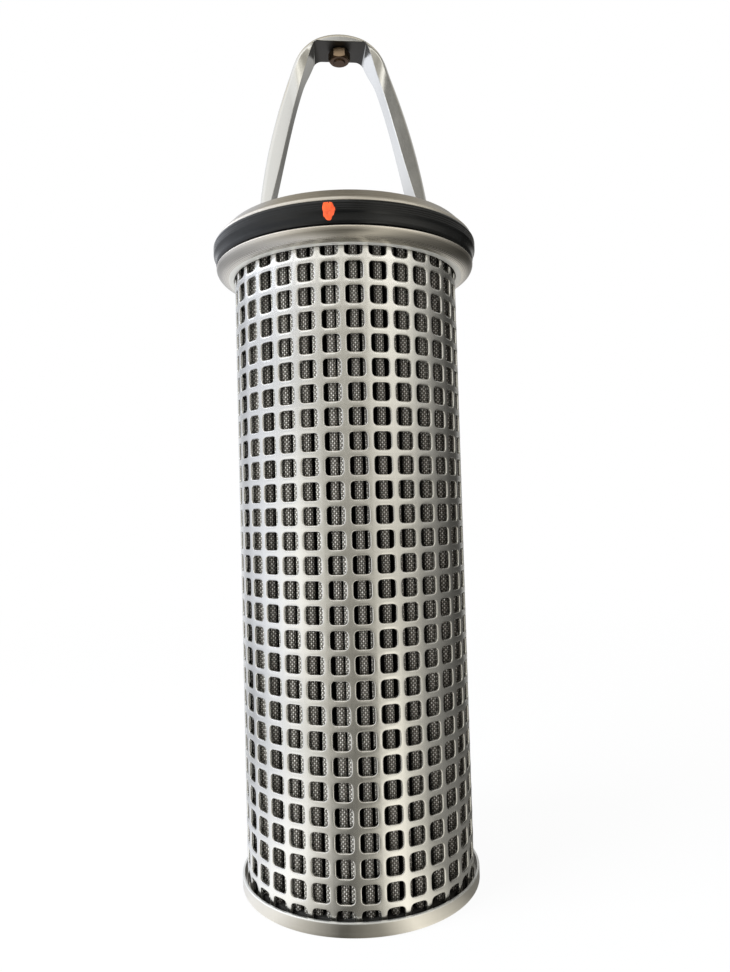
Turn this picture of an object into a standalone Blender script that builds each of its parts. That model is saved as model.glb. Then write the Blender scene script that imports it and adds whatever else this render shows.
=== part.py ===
"""Lift-out basket strainer: a perforated jacket round a pleated mesh pack, with a flange, a seal and a bail.

Metres, +Z up. The origin is at the centre of the foot, and the bail's loop lies in the XZ plane.
"""

import math

import bmesh
import bpy
from mathutils import Matrix

# Clearance between touching pieces, and steps round the turned ones
TOUCH_GAP = 0.0003
ROUND_STEPS = 40
POTTING_STEPS = 24

# Bottom cup
CUP_LIP_CLEARANCE = 0.0013
CUP_HEIGHT = 0.0083
CUP_WALL = 0.0012
CUP_FLOOR = 0.0015
CUP_CORNER = 0.0020

# Top flange
FLANGE_TOP = 0.3268
FLANGE_HEIGHT = 0.0229
FLANGE_GROOVE_WALL = 0.0027
FLANGE_SLEEVE_WALL = 0.0010
FLANGE_RECESS_DEPTH = 0.0078
RIM_CHAMFER_ACROSS = 0.0030
RIM_CHAMFER_DOWN = 0.0045
LOWER_LIP_HEIGHT = 0.0054
LOWER_LIP_ROUND_ACROSS = 0.0055
LOWER_LIP_ROUND_UP = 0.0046

# Seal in the flange's groove
SEAL_HEIGHT = 0.0111
SEAL_STAND_OUT = 0.0013
SEAL_LOWER_STAND_OUT = 0.0002
SEAL_BEAD_HEIGHT = 0.0018
SEAL_WAIST_DEPTH = 0.0006
GROOVE_DEPTH = 0.0060

# Perforated jacket
JACKET_RADIUS = 0.0570
JACKET_WALL = 0.0020
HOLE_COLUMNS = 24
HOLE_ROWS = 20
HOLE_SIZE = 0.0080
JACKET_END_BAND = 0.0056

# Pleated mesh pack
PLEAT_COUNT = 58
PLEAT_DEPTH = 0.0080
SUPPORT_MESH_FOLD = 0.0016
FILTER_MESH_FOLD = 0.0016
MESH_FOLD_GAP = 0.0011
PACK_CLEARANCE = 0.0004
POTTING_HEIGHT = 0.0040

# Bail
BAIL_HEIGHT = 0.1044
CROWN_RADIUS = 0.0270
CROWN_THICKNESS = 0.0044
SEAT_END_WALL = 0.0010
SEAT_CORNER_RADIUS = 0.0012
CROWN_ARC_HALF_ANGLE = math.radians(70.0)
FOOT_SET_BACK = 0.0003
FOOT_THICKNESS = 0.0029
LEG_INNER_BOW = 0.0018
LEG_INNER_SKEW = 2.1
LEG_OUTER_BOW = 0.0033
HEAD_WIDTH = 0.0187
WAIST_WIDTH = 0.0112
FOOT_WIDTH = 0.0290
HEAD_DEPTH = 0.0070
WAIST_BELOW_TOP = 0.0204

# Nut and stud under the crown
NUT_ACROSS_FLATS = 0.0100
NUT_HEIGHT = 0.0052
NUT_CHAMFER = 0.0006
STUD_RADIUS = 0.0030
STUD_CLEARANCE = 0.0003
STUD_END_BELOW_NUT = 0.0006
STUD_END_CHAMFER = 0.0005
CROWN_SKIN = 0.0013
STUD_STEPS = 16

CUP_RADIUS = JACKET_RADIUS + CUP_LIP_CLEARANCE + CUP_WALL
GROOVE_RADIUS = JACKET_RADIUS + TOUCH_GAP + FLANGE_GROOVE_WALL
FLANGE_RADIUS = GROOVE_RADIUS + GROOVE_DEPTH

FLANGE_UNDERSIDE = FLANGE_TOP - FLANGE_HEIGHT
GROOVE_BOTTOM = FLANGE_UNDERSIDE + LOWER_LIP_HEIGHT
GROOVE_TOP = GROOVE_BOTTOM + SEAL_HEIGHT + 2 * TOUCH_GAP
RECESS_TOP = FLANGE_UNDERSIDE + FLANGE_RECESS_DEPTH
RECESS_OUTER = (JACKET_RADIUS + TOUCH_GAP) / math.cos(math.pi / ROUND_STEPS)

JACKET_BOTTOM = CUP_FLOOR + TOUCH_GAP
JACKET_TOP = RECESS_TOP - TOUCH_GAP
HOLE_ANGLE = HOLE_SIZE / JACKET_RADIUS
WEB_ANGLE = 2 * math.pi / HOLE_COLUMNS - HOLE_ANGLE
JACKET_INNER = (JACKET_RADIUS - JACKET_WALL) * math.cos(max(HOLE_ANGLE, WEB_ANGLE) / 2)

SUPPORT_RIDGE = JACKET_INNER - PACK_CLEARANCE
FILTER_RIDGE = SUPPORT_RIDGE - SUPPORT_MESH_FOLD - MESH_FOLD_GAP
PACK_INNER = FILTER_RIDGE - PLEAT_DEPTH - FILTER_MESH_FOLD
PACK_BOTTOM = JACKET_BOTTOM + POTTING_HEIGHT + TOUCH_GAP
PACK_TOP = JACKET_TOP - POTTING_HEIGHT - TOUCH_GAP

SLEEVE_RADIUS = PACK_INNER - TOUCH_GAP
FLANGE_BORE_RADIUS = SLEEVE_RADIUS - FLANGE_SLEEVE_WALL
FOOT_INNER = FLANGE_BORE_RADIUS + FOOT_SET_BACK

BAIL_TOP = FLANGE_TOP + BAIL_HEIGHT
BAIL_FOOT = FLANGE_TOP + TOUCH_GAP
SEAT_HEIGHT = BAIL_TOP - CROWN_THICKNESS
SEAT_HALF_LENGTH = math.sqrt(CROWN_RADIUS**2 - (CROWN_RADIUS - CROWN_THICKNESS) ** 2) - SEAT_END_WALL


def clear_scene():
    for thing in list(bpy.data.objects):
        bpy.data.objects.remove(thing, do_unlink=True)


def new_collection(name):
    collection = bpy.data.collections.new(name)
    bpy.context.scene.collection.children.link(collection)
    return collection


def new_material(name, color, metallic, roughness):
    material = bpy.data.materials.new(name)
    material.use_nodes = True
    shader = material.node_tree.nodes["Principled BSDF"]
    shader.inputs["Base Color"].default_value = (*color, 1.0)
    shader.inputs["Metallic"].default_value = metallic
    shader.inputs["Roughness"].default_value = roughness
    material.diffuse_color = (*color, 1.0)
    return material


def new_object(name, mesh, collection, material=None):
    thing = bpy.data.objects.new(name, mesh)
    collection.objects.link(thing)
    if material:
        mesh.materials.append(material)
    return thing


def mesh_from(build, name):
    """A mesh filled in by build, which is given an empty bmesh."""
    form = bmesh.new()
    build(form)
    bmesh.ops.recalc_face_normals(form, faces=form.faces)
    mesh = bpy.data.meshes.new(name)
    form.to_mesh(mesh)
    form.free()
    return mesh


def make_cutter(thing):
    thing.hide_render = True
    thing.display_type = "WIRE"


def add_boolean(thing, cutter, operation):
    modifier = thing.modifiers.new(operation.title(), "BOOLEAN")
    modifier.operation = operation
    modifier.solver = "EXACT"
    modifier.object = cutter


def arc(centre, radius_across, radius_up, start, end, steps):
    """Points on an ellipse's arc, at angles from the +X side, both ends among them."""
    points = []
    for step in range(steps + 1):
        angle = start + (end - start) * step / steps
        across = centre[0] + radius_across * math.cos(angle)
        points.append((across, centre[1] + radius_up * math.sin(angle)))
    return points


def bowed_line(start, end, bow, steps, skew=1.0):
    """Points from start to end that stand up to bow to the line's left; skew moves the bow towards the end."""
    run = end[0] - start[0]
    rise = end[1] - start[1]
    length = math.hypot(run, rise)
    points = []
    for step in range(steps + 1):
        share = step / steps
        eased = share**skew
        lift = 4 * bow * eased * (1 - eased)
        across = start[0] + run * share - rise / length * lift
        points.append((across, start[1] + rise * share + run / length * lift))
    return points


def turned(name, profile, closed, collection, material, steps=ROUND_STEPS):
    """A body turned round the Z axis from (radius, height) points that run down its outer side."""

    def build(form):
        points = [form.verts.new((radius, 0.0, height)) for radius, height in profile]
        for first, second in zip(points, points[1:]):
            form.edges.new((first, second))
        if closed:
            form.edges.new((points[-1], points[0]))

    thing = new_object(name, mesh_from(build, name), collection, material)
    screw = thing.modifiers.new("Turn", "SCREW")
    screw.angle = 2 * math.pi
    screw.axis = "Z"
    screw.steps = steps
    screw.render_steps = steps
    screw.use_merge_vertices = True
    screw.merge_threshold = 0.00001
    screw.use_smooth_shade = True
    return thing


def make_bottom_cup(parts, steel):
    """Pressed cup: a closed floor, a rounded corner and a thin lip that stands clear of the jacket."""
    inner_radius = CUP_RADIUS - CUP_WALL
    profile = [(0.0, CUP_FLOOR), (inner_radius, CUP_FLOOR), (inner_radius, CUP_HEIGHT), (CUP_RADIUS, CUP_HEIGHT)]
    profile += arc((CUP_RADIUS - CUP_CORNER, CUP_CORNER), CUP_CORNER, CUP_CORNER, 0.0, -math.pi / 2, 3)
    profile += [(0.0, 0.0)]
    return turned("bottom_cup", profile, False, parts, steel)


def make_top_flange(parts, steel):
    """Turned ring: chamfered rim, seal groove, rounded lower lip and a recess for the jacket's end."""
    lip_centre = (FLANGE_RADIUS - LOWER_LIP_ROUND_ACROSS, FLANGE_UNDERSIDE + LOWER_LIP_ROUND_UP)
    profile = [
        (FLANGE_BORE_RADIUS, FLANGE_TOP),
        (FLANGE_RADIUS - RIM_CHAMFER_ACROSS, FLANGE_TOP),
        (FLANGE_RADIUS, FLANGE_TOP - RIM_CHAMFER_DOWN),
        (FLANGE_RADIUS, GROOVE_TOP),
        (GROOVE_RADIUS, GROOVE_TOP),
        (GROOVE_RADIUS, GROOVE_BOTTOM),
        (FLANGE_RADIUS, GROOVE_BOTTOM),
    ]
    profile += arc(lip_centre, LOWER_LIP_ROUND_ACROSS, LOWER_LIP_ROUND_UP, 0.0, -math.pi / 2, 3)
    profile += [
        (RECESS_OUTER, FLANGE_UNDERSIDE),
        (RECESS_OUTER, RECESS_TOP),
        (SLEEVE_RADIUS, RECESS_TOP),
        (SLEEVE_RADIUS, FLANGE_UNDERSIDE),
        (FLANGE_BORE_RADIUS, FLANGE_UNDERSIDE),
    ]
    return turned("top_flange", profile, True, parts, steel)


def make_flange_seal(parts, rubber):
    """Rubber ring in the groove: two beads with a waist between them, the lower one smaller."""
    bottom = GROOVE_BOTTOM + TOUCH_GAP
    top = bottom + SEAL_HEIGHT
    upper = FLANGE_RADIUS + SEAL_STAND_OUT
    lower = FLANGE_RADIUS + SEAL_LOWER_STAND_OUT
    waist_height = (bottom + top) / 2
    profile = [
        (GROOVE_RADIUS + TOUCH_GAP, top),
        (upper - SEAL_WAIST_DEPTH, top),
        (upper, top - SEAL_BEAD_HEIGHT),
        (upper, waist_height + SEAL_BEAD_HEIGHT),
        (upper - SEAL_WAIST_DEPTH, waist_height),
        (lower, bottom + SEAL_BEAD_HEIGHT),
        (lower - SEAL_WAIST_DEPTH, bottom),
        (GROOVE_RADIUS + TOUCH_GAP, bottom),
    ]
    return turned("flange_seal", profile, True, parts, rubber)


def make_potting(name, bottom, parts, resin):
    """Resin ring between the flange's sleeve line and the jacket."""
    inner = (SLEEVE_RADIUS + TOUCH_GAP) / math.cos(math.pi / POTTING_STEPS)
    outer = JACKET_INNER - TOUCH_GAP
    top = bottom + POTTING_HEIGHT
    profile = [(inner, top), (outer, top), (outer, bottom), (inner, bottom)]
    return turned(name, profile, True, parts, resin, POTTING_STEPS)


def hole_bands():
    """Heights at which the jacket's rows of holes start and end, lowest first."""
    perforated = JACKET_TOP - JACKET_BOTTOM - 2 * JACKET_END_BAND
    pitch = (perforated - HOLE_SIZE) / (HOLE_ROWS - 1)
    first = JACKET_BOTTOM + JACKET_END_BAND
    return [(first + row * pitch, first + row * pitch + HOLE_SIZE) for row in range(HOLE_ROWS)]


def make_outer_jacket(parts, steel):
    """Perforated sheet rolled to a tube: straight rows and columns of square holes, one column facing -Y."""
    bands = hole_bands()
    column_angle = 2 * math.pi / HOLE_COLUMNS
    half_hole = HOLE_ANGLE / 2

    def hole_column(angle):
        """The column number nearest to an angle, and how far the angle lies from its middle."""
        turns = (angle + math.pi / 2) / column_angle
        return round(turns), (turns - round(turns)) * column_angle

    def build(form):
        bmesh.ops.create_cone(
            form,
            cap_ends=False,
            segments=2 * HOLE_COLUMNS,
            radius1=JACKET_RADIUS,
            radius2=JACKET_RADIUS,
            depth=JACKET_TOP - JACKET_BOTTOM,
        )
        bmesh.ops.translate(form, vec=(0.0, 0.0, (JACKET_TOP + JACKET_BOTTOM) / 2), verts=form.verts)
        for band in bands:
            for height in band:
                everything = form.verts[:] + form.edges[:] + form.faces[:]
                bmesh.ops.bisect_plane(form, geom=everything, plane_co=(0, 0, height), plane_no=(0, 0, 1))
        for vert in form.verts:
            line = round((math.atan2(vert.co.y, vert.co.x) + math.pi / 2) / (column_angle / 2))
            middle = math.floor((line + 1) / 2)
            side = 1 if line % 2 == 0 else -1
            angle = middle * column_angle + side * half_hole - math.pi / 2
            vert.co.x = JACKET_RADIUS * math.cos(angle)
            vert.co.y = JACKET_RADIUS * math.sin(angle)
        openings = []
        for face in form.faces:
            centre = face.calc_center_median()
            offset = hole_column(math.atan2(centre.y, centre.x))[1]
            in_row = any(low < centre.z < high for low, high in bands)
            if in_row and abs(offset) < half_hole / 2:
                openings.append(face)
        bmesh.ops.delete(form, geom=openings, context="FACES")

    thing = new_object("outer_jacket", mesh_from(build, "outer_jacket"), parts, steel)
    wall = thing.modifiers.new("Wall", "SOLIDIFY")
    wall.thickness = JACKET_WALL
    wall.offset = -1.0
    return thing


def make_pleated_mesh(name, ridge, fold, parts, wire):
    """A sheet folded to and fro all round: ridges near the jacket, valleys PLEAT_DEPTH further in."""

    def build(form):
        bmesh.ops.create_circle(form, cap_ends=False, segments=2 * PLEAT_COUNT, radius=ridge)
        line_angle = math.pi / PLEAT_COUNT
        for vert in form.verts:
            line = round((math.atan2(vert.co.y, vert.co.x) + math.pi / 2) / line_angle)
            radius = ridge - (PLEAT_DEPTH if line % 2 else 0.0)
            angle = line * line_angle - math.pi / 2
            vert.co = (radius * math.cos(angle), radius * math.sin(angle), PACK_BOTTOM)
        raised = bmesh.ops.extrude_edge_only(form, edges=form.edges[:])["geom"]
        upper = [piece for piece in raised if isinstance(piece, bmesh.types.BMVert)]
        bmesh.ops.translate(form, vec=(0, 0, PACK_TOP - PACK_BOTTOM), verts=upper)

    thing = new_object(name, mesh_from(build, name), parts, wire)
    layer = thing.modifiers.new("Layer", "SOLIDIFY")
    layer.thickness = fold
    layer.offset = -1.0
    return thing


def flat_solid(name, outline, half_thickness, turn, collection):
    """A mesh extruded both ways from a closed flat outline, turned into place."""
    curve = bpy.data.curves.new(name, "CURVE")
    curve.dimensions = "2D"
    curve.fill_mode = "BOTH"
    curve.extrude = half_thickness
    spline = curve.splines.new("POLY")
    spline.points.add(len(outline) - 1)
    for point, (across, up) in zip(spline.points, outline):
        point.co = (across, up, 0.0, 1.0)
    spline.use_cyclic_u = True
    guide = bpy.data.objects.new(name + "_outline", curve)
    collection.objects.link(guide)
    guide.rotation_euler = turn
    bpy.context.view_layer.update()
    graph = bpy.context.evaluated_depsgraph_get()
    mesh = bpy.data.meshes.new_from_object(guide.evaluated_get(graph))
    mesh.transform(guide.matrix_world)
    bpy.data.objects.remove(guide, do_unlink=True)
    form = bmesh.new()
    form.from_mesh(mesh)
    bmesh.ops.remove_doubles(form, verts=form.verts, dist=0.000001)
    bmesh.ops.recalc_face_normals(form, faces=form.faces)
    form.to_mesh(mesh)
    form.free()
    mesh.name = name
    return new_object(name, mesh, collection)


def bail_front_outline():
    """The bail from the front: a round arch outside, and inside it a flat seat and two bowed legs."""
    centre = (0.0, BAIL_TOP - CROWN_RADIUS)
    from_side = math.pi / 2 - CROWN_ARC_HALF_ANGLE
    crown = arc(centre, CROWN_RADIUS, CROWN_RADIUS, from_side, math.pi - from_side, 20)
    right_shoulder = crown[0]
    left_shoulder = crown[-1]
    foot_outer = FOOT_INNER + FOOT_THICKNESS
    seat_end = (SEAT_HALF_LENGTH, SEAT_HEIGHT)
    foot_right = (FOOT_INNER, BAIL_FOOT)
    leg = math.atan2(seat_end[1] - foot_right[1], foot_right[0] - seat_end[0])
    corner_centre = (SEAT_HALF_LENGTH - SEAT_CORNER_RADIUS, SEAT_HEIGHT - SEAT_CORNER_RADIUS)
    corner = arc(corner_centre, SEAT_CORNER_RADIUS, SEAT_CORNER_RADIUS, math.pi / 2 - leg, math.pi / 2, 3)
    mirrored_corner = [(-across, up) for across, up in reversed(corner)]
    outline = bowed_line((foot_outer, BAIL_FOOT), right_shoulder, -LEG_OUTER_BOW, 7)
    outline += crown[1:-1]
    outline += bowed_line(left_shoulder, (-foot_outer, BAIL_FOOT), -LEG_OUTER_BOW, 7)
    outline += bowed_line((-FOOT_INNER, BAIL_FOOT), mirrored_corner[-1], LEG_INNER_BOW, 7, LEG_INNER_SKEW)
    outline += mirrored_corner[-2::-1]
    outline += list(reversed(corner))[:-1]
    right_leg = bowed_line(foot_right, corner[0], -LEG_INNER_BOW, 7, LEG_INNER_SKEW)
    outline += list(reversed(right_leg))
    return outline


def bail_side_outline():
    """The bail from the side: a wide head, a narrow waist below it, and legs that flare to the feet."""
    waist_height = BAIL_TOP - WAIST_BELOW_TOP
    head_bottom = BAIL_TOP - HEAD_DEPTH
    head = HEAD_WIDTH / 2
    waist = WAIST_WIDTH / 2
    foot = FOOT_WIDTH / 2
    margin = CROWN_THICKNESS
    right = [(head, BAIL_TOP + margin)]
    for step in range(5):
        share = step / 4
        ease = (1 - math.cos(math.pi * share)) / 2
        right.append((head + (waist - head) * ease, head_bottom + (waist_height - head_bottom) * share))
    for step in range(1, 8):
        share = step / 7
        height = waist_height + (BAIL_FOOT - margin - waist_height) * share
        right.append((waist + (foot - waist) * share * share, height))
    left = [(-across, up) for across, up in reversed(right)]
    return left + right


def make_bail(parts, cutters, steel):
    """Forged bail: the front outline and the side outline cut through each other, with a stud hole."""
    bail = flat_solid("bail", bail_front_outline(), FOOT_WIDTH, (math.pi / 2, 0, 0), parts)
    bail.data.materials.append(steel)
    side_turn = (math.pi / 2, 0, math.pi / 2)
    side = flat_solid("bail_side", bail_side_outline(), 2 * FOOT_INNER, side_turn, cutters)
    make_cutter(side)
    add_boolean(bail, side, "INTERSECT")

    hole_radius = STUD_RADIUS + STUD_CLEARANCE
    hole_top = BAIL_TOP - CROWN_SKIN
    hole_depth = hole_top - SEAT_HEIGHT + CROWN_THICKNESS

    def build(form):
        bmesh.ops.create_cone(
            form,
            cap_ends=True,
            segments=STUD_STEPS,
            radius1=hole_radius,
            radius2=hole_radius,
            depth=hole_depth,
        )
        bmesh.ops.translate(form, vec=(0, 0, hole_top - hole_depth / 2), verts=form.verts)

    drill = new_object("stud_hole", mesh_from(build, "stud_hole"), cutters)
    make_cutter(drill)
    add_boolean(bail, drill, "DIFFERENCE")
    return bail


def make_crown_stud(parts, bronze):
    """Threaded stud, from the blind hole in the crown to just below the nut."""
    top = BAIL_TOP - CROWN_SKIN - TOUCH_GAP
    bottom = SEAT_HEIGHT - TOUCH_GAP - NUT_HEIGHT - STUD_END_BELOW_NUT
    profile = [
        (0.0, top),
        (STUD_RADIUS, top),
        (STUD_RADIUS, bottom + STUD_END_CHAMFER),
        (STUD_RADIUS - STUD_END_CHAMFER, bottom),
        (0.0, bottom),
    ]
    return turned("crown_stud", profile, False, parts, bronze, STUD_STEPS)


def make_crown_nut(parts, cutters, bronze):
    """Hexagon nut against the crown's seat, a corner towards each side."""
    top = SEAT_HEIGHT - TOUCH_GAP
    corner_radius = NUT_ACROSS_FLATS / 2 / math.cos(math.pi / 6)

    def build(form):
        bmesh.ops.create_cone(
            form,
            cap_ends=True,
            segments=6,
            radius1=corner_radius,
            radius2=corner_radius,
            depth=NUT_HEIGHT,
        )
        rims = [edge for edge in form.edges if abs(edge.verts[0].co.z - edge.verts[1].co.z) < NUT_CHAMFER]
        bmesh.ops.bevel(form, geom=rims, offset=NUT_CHAMFER, segments=1, affect="EDGES")
        bmesh.ops.rotate(form, matrix=Matrix.Rotation(math.pi / 2, 3, "Z"), verts=form.verts)
        bmesh.ops.translate(form, vec=(0, 0, top - NUT_HEIGHT / 2), verts=form.verts)

    nut = new_object("crown_nut", mesh_from(build, "crown_nut"), parts, bronze)

    def build_drill(form):
        bmesh.ops.create_cone(
            form,
            cap_ends=True,
            segments=STUD_STEPS,
            radius1=STUD_RADIUS + STUD_CLEARANCE,
            radius2=STUD_RADIUS + STUD_CLEARANCE,
            depth=2 * NUT_HEIGHT,
        )
        bmesh.ops.translate(form, vec=(0, 0, top - NUT_HEIGHT / 2), verts=form.verts)

    drill = new_object("nut_hole", mesh_from(build_drill, "nut_hole"), cutters)
    make_cutter(drill)
    add_boolean(nut, drill, "DIFFERENCE")
    return nut


def main():
    clear_scene()
    parts = new_collection("basket_strainer")
    cutters = new_collection("cutters")
    satin_steel = new_material("satin_steel", (0.55, 0.55, 0.54), 1.0, 0.35)
    turned_steel = new_material("turned_steel", (0.42, 0.40, 0.37), 1.0, 0.40)
    mesh_steel = new_material("mesh_steel", (0.20, 0.18, 0.16), 1.0, 0.50)
    fine_mesh_steel = new_material("fine_mesh_steel", (0.30, 0.29, 0.28), 1.0, 0.55)
    black_rubber = new_material("black_rubber", (0.02, 0.02, 0.022), 0.0, 0.45)
    dark_resin = new_material("dark_resin", (0.03, 0.03, 0.03), 0.0, 0.60)
    bronze = new_material("bronze", (0.40, 0.27, 0.16), 1.0, 0.40)

    make_bottom_cup(parts, satin_steel)
    make_top_flange(parts, turned_steel)
    make_flange_seal(parts, black_rubber)
    make_potting("lower_potting", JACKET_BOTTOM, parts, dark_resin)
    make_potting("upper_potting", JACKET_TOP - POTTING_HEIGHT, parts, dark_resin)
    make_outer_jacket(parts, satin_steel)
    make_pleated_mesh("support_mesh", SUPPORT_RIDGE, SUPPORT_MESH_FOLD, parts, mesh_steel)
    make_pleated_mesh("filter_mesh", FILTER_RIDGE, FILTER_MESH_FOLD, parts, fine_mesh_steel)
    make_bail(parts, cutters, satin_steel)
    make_crown_stud(parts, bronze)
    make_crown_nut(parts, cutters, bronze)


main()
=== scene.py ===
"""Dresses a lift-out basket strainer: perforated jacket, pleated mesh, flange, seal, cup, bail and nut.

Metres, +Z up. The strainer stands on the origin and its bail's loop lies in the XZ plane.
"""

import math

import bmesh
import bpy
from bpy.props import FloatProperty, FloatVectorProperty, IntProperty, PointerProperty
from mathutils import Matrix, Vector


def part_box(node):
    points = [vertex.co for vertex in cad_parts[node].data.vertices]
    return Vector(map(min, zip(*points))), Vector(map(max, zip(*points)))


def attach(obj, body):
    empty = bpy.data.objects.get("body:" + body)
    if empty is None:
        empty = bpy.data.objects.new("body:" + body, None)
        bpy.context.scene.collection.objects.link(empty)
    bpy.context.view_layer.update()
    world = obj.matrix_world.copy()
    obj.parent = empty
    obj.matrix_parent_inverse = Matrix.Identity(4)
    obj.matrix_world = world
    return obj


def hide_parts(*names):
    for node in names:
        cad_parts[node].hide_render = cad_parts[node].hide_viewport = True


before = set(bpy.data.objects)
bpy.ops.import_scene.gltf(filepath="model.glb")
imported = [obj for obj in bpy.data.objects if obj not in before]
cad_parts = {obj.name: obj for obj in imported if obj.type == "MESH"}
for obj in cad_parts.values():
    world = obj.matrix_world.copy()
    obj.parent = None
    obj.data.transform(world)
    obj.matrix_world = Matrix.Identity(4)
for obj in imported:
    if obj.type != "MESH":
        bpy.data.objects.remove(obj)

bl_info = {
    "name": "Basket Strainer Looks",
    "version": (1, 0, 0),
    "blender": (4, 5, 0),
    "location": "3D Viewport > Sidebar > Strainer",
    "description": "Models the visible surfaces of a basket strainer round its packed frame",
    "category": "Add Mesh",
}

JACKET_LOW, JACKET_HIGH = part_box("outer_jacket")
FLANGE_LOW, FLANGE_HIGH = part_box("top_flange")
SEAL_LOW, SEAL_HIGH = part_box("flange_seal")
CUP_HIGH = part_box("bottom_cup")[1]
BAIL_LOW, BAIL_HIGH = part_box("bail")
NUT_LOW, NUT_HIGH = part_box("crown_nut")
STUD_LOW, STUD_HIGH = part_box("crown_stud")
MESH_LOW, MESH_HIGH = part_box("support_mesh")
FILTER_LOW, FILTER_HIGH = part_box("filter_mesh")

WELD_DISTANCE = 0.00001
SMOOTH_ANGLE = math.radians(35.0)
FULL_TURN = 2 * math.pi
RING_STEPS = 192
FIT_GAP = 0.0003

# The weld bead up the jacket: its ripple, the ripple's pitch and lag, how deep it sits and how thick it is.
SEAM_RIPPLE, SEAM_PITCH, SEAM_LAG, SEAM_SINK, SEAM_THICKNESS = 0.15, 0.0016, 1.4, 0.0002, 0.0003
COARSE_THICKNESS, FINE_THICKNESS = 0.0004, 0.0003
HEAD_STEP, VALLEY_STEP = math.radians(22.0), math.radians(40.0)
# The pleats wander by a wave from pleat to pleat, and a slower sway shifts the wave.
WANDER_STEP, SWAY, SWAY_STEP = 2.4, 1.7, 1.1
RESIN_COLOR = (0.045, 0.043, 0.04)

# The seal's waist as a share of its height, the radius at its top edge and the shoulder above the waist.
SEAL_WAIST_SHARE, SEAL_TOP_ROUND, SEAL_SHOULDER = 0.42, 0.0009, 0.00015
# The fourth of these is the height of the band at the top of the lip that is painted lighter as a highlight.
CUP_FLOOR_BAND, CUP_LIP_FACE, CUP_LIP_TAPER, CUP_LIP_HIGHLIGHT, CUP_EDGE = 0.002, 0.0001, 0.0006, 0.0005, 0.0002
CREASE_ABOVE, CREASE_BELOW = 0.0008, 0.0006
BAIL_FLARE = 0.0145
# The weld round a foot: its overlap as a share of its radius, how square it is, its ripples and its depth.
WELD_OVERLAP, WELD_SQUARE, WELD_RIPPLE, WELD_RIPPLES, WELD_SINK = 0.3, 8, 0.10, 60.0, 0.0002
NUT_FACE_SHARE, NUT_SPARE, NUT_EDGE = 0.96, 0.0002, 0.00018
THREAD_GAP, DRILL_OVER, THREAD_END = 0.0001, 0.001, 1.6
# The uneven edge of the dab of paint: size of each wave as a share of the radius, waves in a turn, shift.
DAB_WAVES = ((0.08, 3, 0.6), (0.05, 5, 2.1), (0.03, 9, 0.0))

PHOTO_HEIGHT = 972
SENSOR_WIDTH = 36.0

# Each lamp: name, place, size, watts, colour.
LAMPS = (
    ("left_window", (-1.25, -0.55, 0.55), 0.9, 42.0, (0.90, 0.96, 1.0)),
    ("right_fill", (0.85, -0.95, 0.60), 0.5, 1.2, (1.0, 0.95, 0.86)),
    ("ceiling", (0.0, 0.10, 1.6), 1.0, 9.0, (1.0, 0.99, 0.96)),
)
LAMP_TARGET = (0, 0, 0.22)
WORLD_COLOR, WORLD_LIGHT = (0.95, 0.98, 1.0), 0.34
FLOOR_DROP = 0.0002
GLOW_START, GLOW_REACH, GLOW_POWER = 0.15, 1.2, 2.0

# Each band of the tent's cloth, from the back round to the back again. Each stop of a band gives the degrees
# from the front towards +X, the cloth's light and its warmth.
BY_THE_FOOT = (
    (-180, 0.80, 0.0), (-140, 0.64, -0.3), (-110, 0.94, -0.4), (-90, 1.00, -0.3), (-68, 1.35, 0.0),
    (-49, 1.35, 0.2), (-33, 0.76, 0.5), (-13, 0.12, 0.7), (5, 0.38, 0.8), (21, 1.40, 0.7),
    (41, 0.76, 0.7), (59, 0.28, 0.6), (80, 0.22, 0.5), (110, 0.16, 0.5), (132, 0.12, 0.5),
    (154, 0.90, 0.2), (180, 0.80, 0.0),
)
ON_THE_GROUND = (
    (-180, 0.90, 0.0), (-150, 0.80, -0.3), (-125, 0.50, -0.4), (-98, 0.80, -0.4), (-80, 1.02, -0.2),
    (-64, 0.90, 0.1), (-47, 0.86, 0.4), (-29, 0.52, 0.7), (-11, 0.18, 0.8), (11, 0.14, 0.8),
    (27, 1.50, 0.7), (40, 0.90, 0.7), (57, 0.48, 0.6), (74, 0.28, 0.5), (92, 0.15, 0.5),
    (132, 0.08, 0.5), (154, 0.80, 0.2), (180, 0.90, 0.0),
)
LOW_ON_THE_WALL = (
    (-180, 0.95, 0.0), (-150, 0.96, -0.3), (-138, 0.62, -0.4), (-118, 0.87, -0.5), (-96, 1.10, -0.4),
    (-76, 1.24, -0.1), (-55, 1.42, 0.3), (-35, 0.80, 0.6), (-14, 0.34, 0.8), (0, 0.34, 0.8),
    (6, 0.46, 0.8), (27, 0.80, 0.7), (47, 0.62, 0.7), (68, 0.29, 0.6), (89, 0.20, 0.5),
    (110, 0.07, 0.5), (132, 0.06, 0.5), (154, 0.80, 0.2), (180, 0.95, 0.0),
)
HALFWAY_UP = (
    (-180, 0.90, 0.0), (-153, 0.76, -0.3), (-138, 0.54, -0.4), (-118, 0.84, -0.5), (-96, 0.86, -0.4),
    (-75, 0.82, -0.3), (-54, 0.73, 0.0), (-33, 0.66, 0.4), (-12, 0.58, 0.7), (8, 0.52, 0.7),
    (29, 1.12, 0.6), (49, 1.04, 0.6), (71, 0.60, 0.5), (91, 0.24, 0.5), (115, 0.05, 0.5),
    (132, 0.08, 0.5), (154, 0.60, 0.2), (180, 0.90, 0.0),
)
AT_THE_FLANGE = (
    (-180, 0.50, 0.0), (-172, 1.00, -0.2), (-150, 1.10, -0.4), (-116, 3.20, -0.7), (-86, 3.60, -0.5),
    (-64, 3.00, -0.2), (-38, 2.20, 0.4), (-3, 1.90, 0.5), (20, 2.00, 0.5), (42, 2.50, 0.4),
    (60, 1.70, 0.4), (80, 0.75, 0.5), (93, 0.42, 0.5), (116, 0.25, 0.5), (150, 0.25, 0.4),
    (172, 0.18, 0.3), (180, 0.50, 0.0),
)
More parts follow.
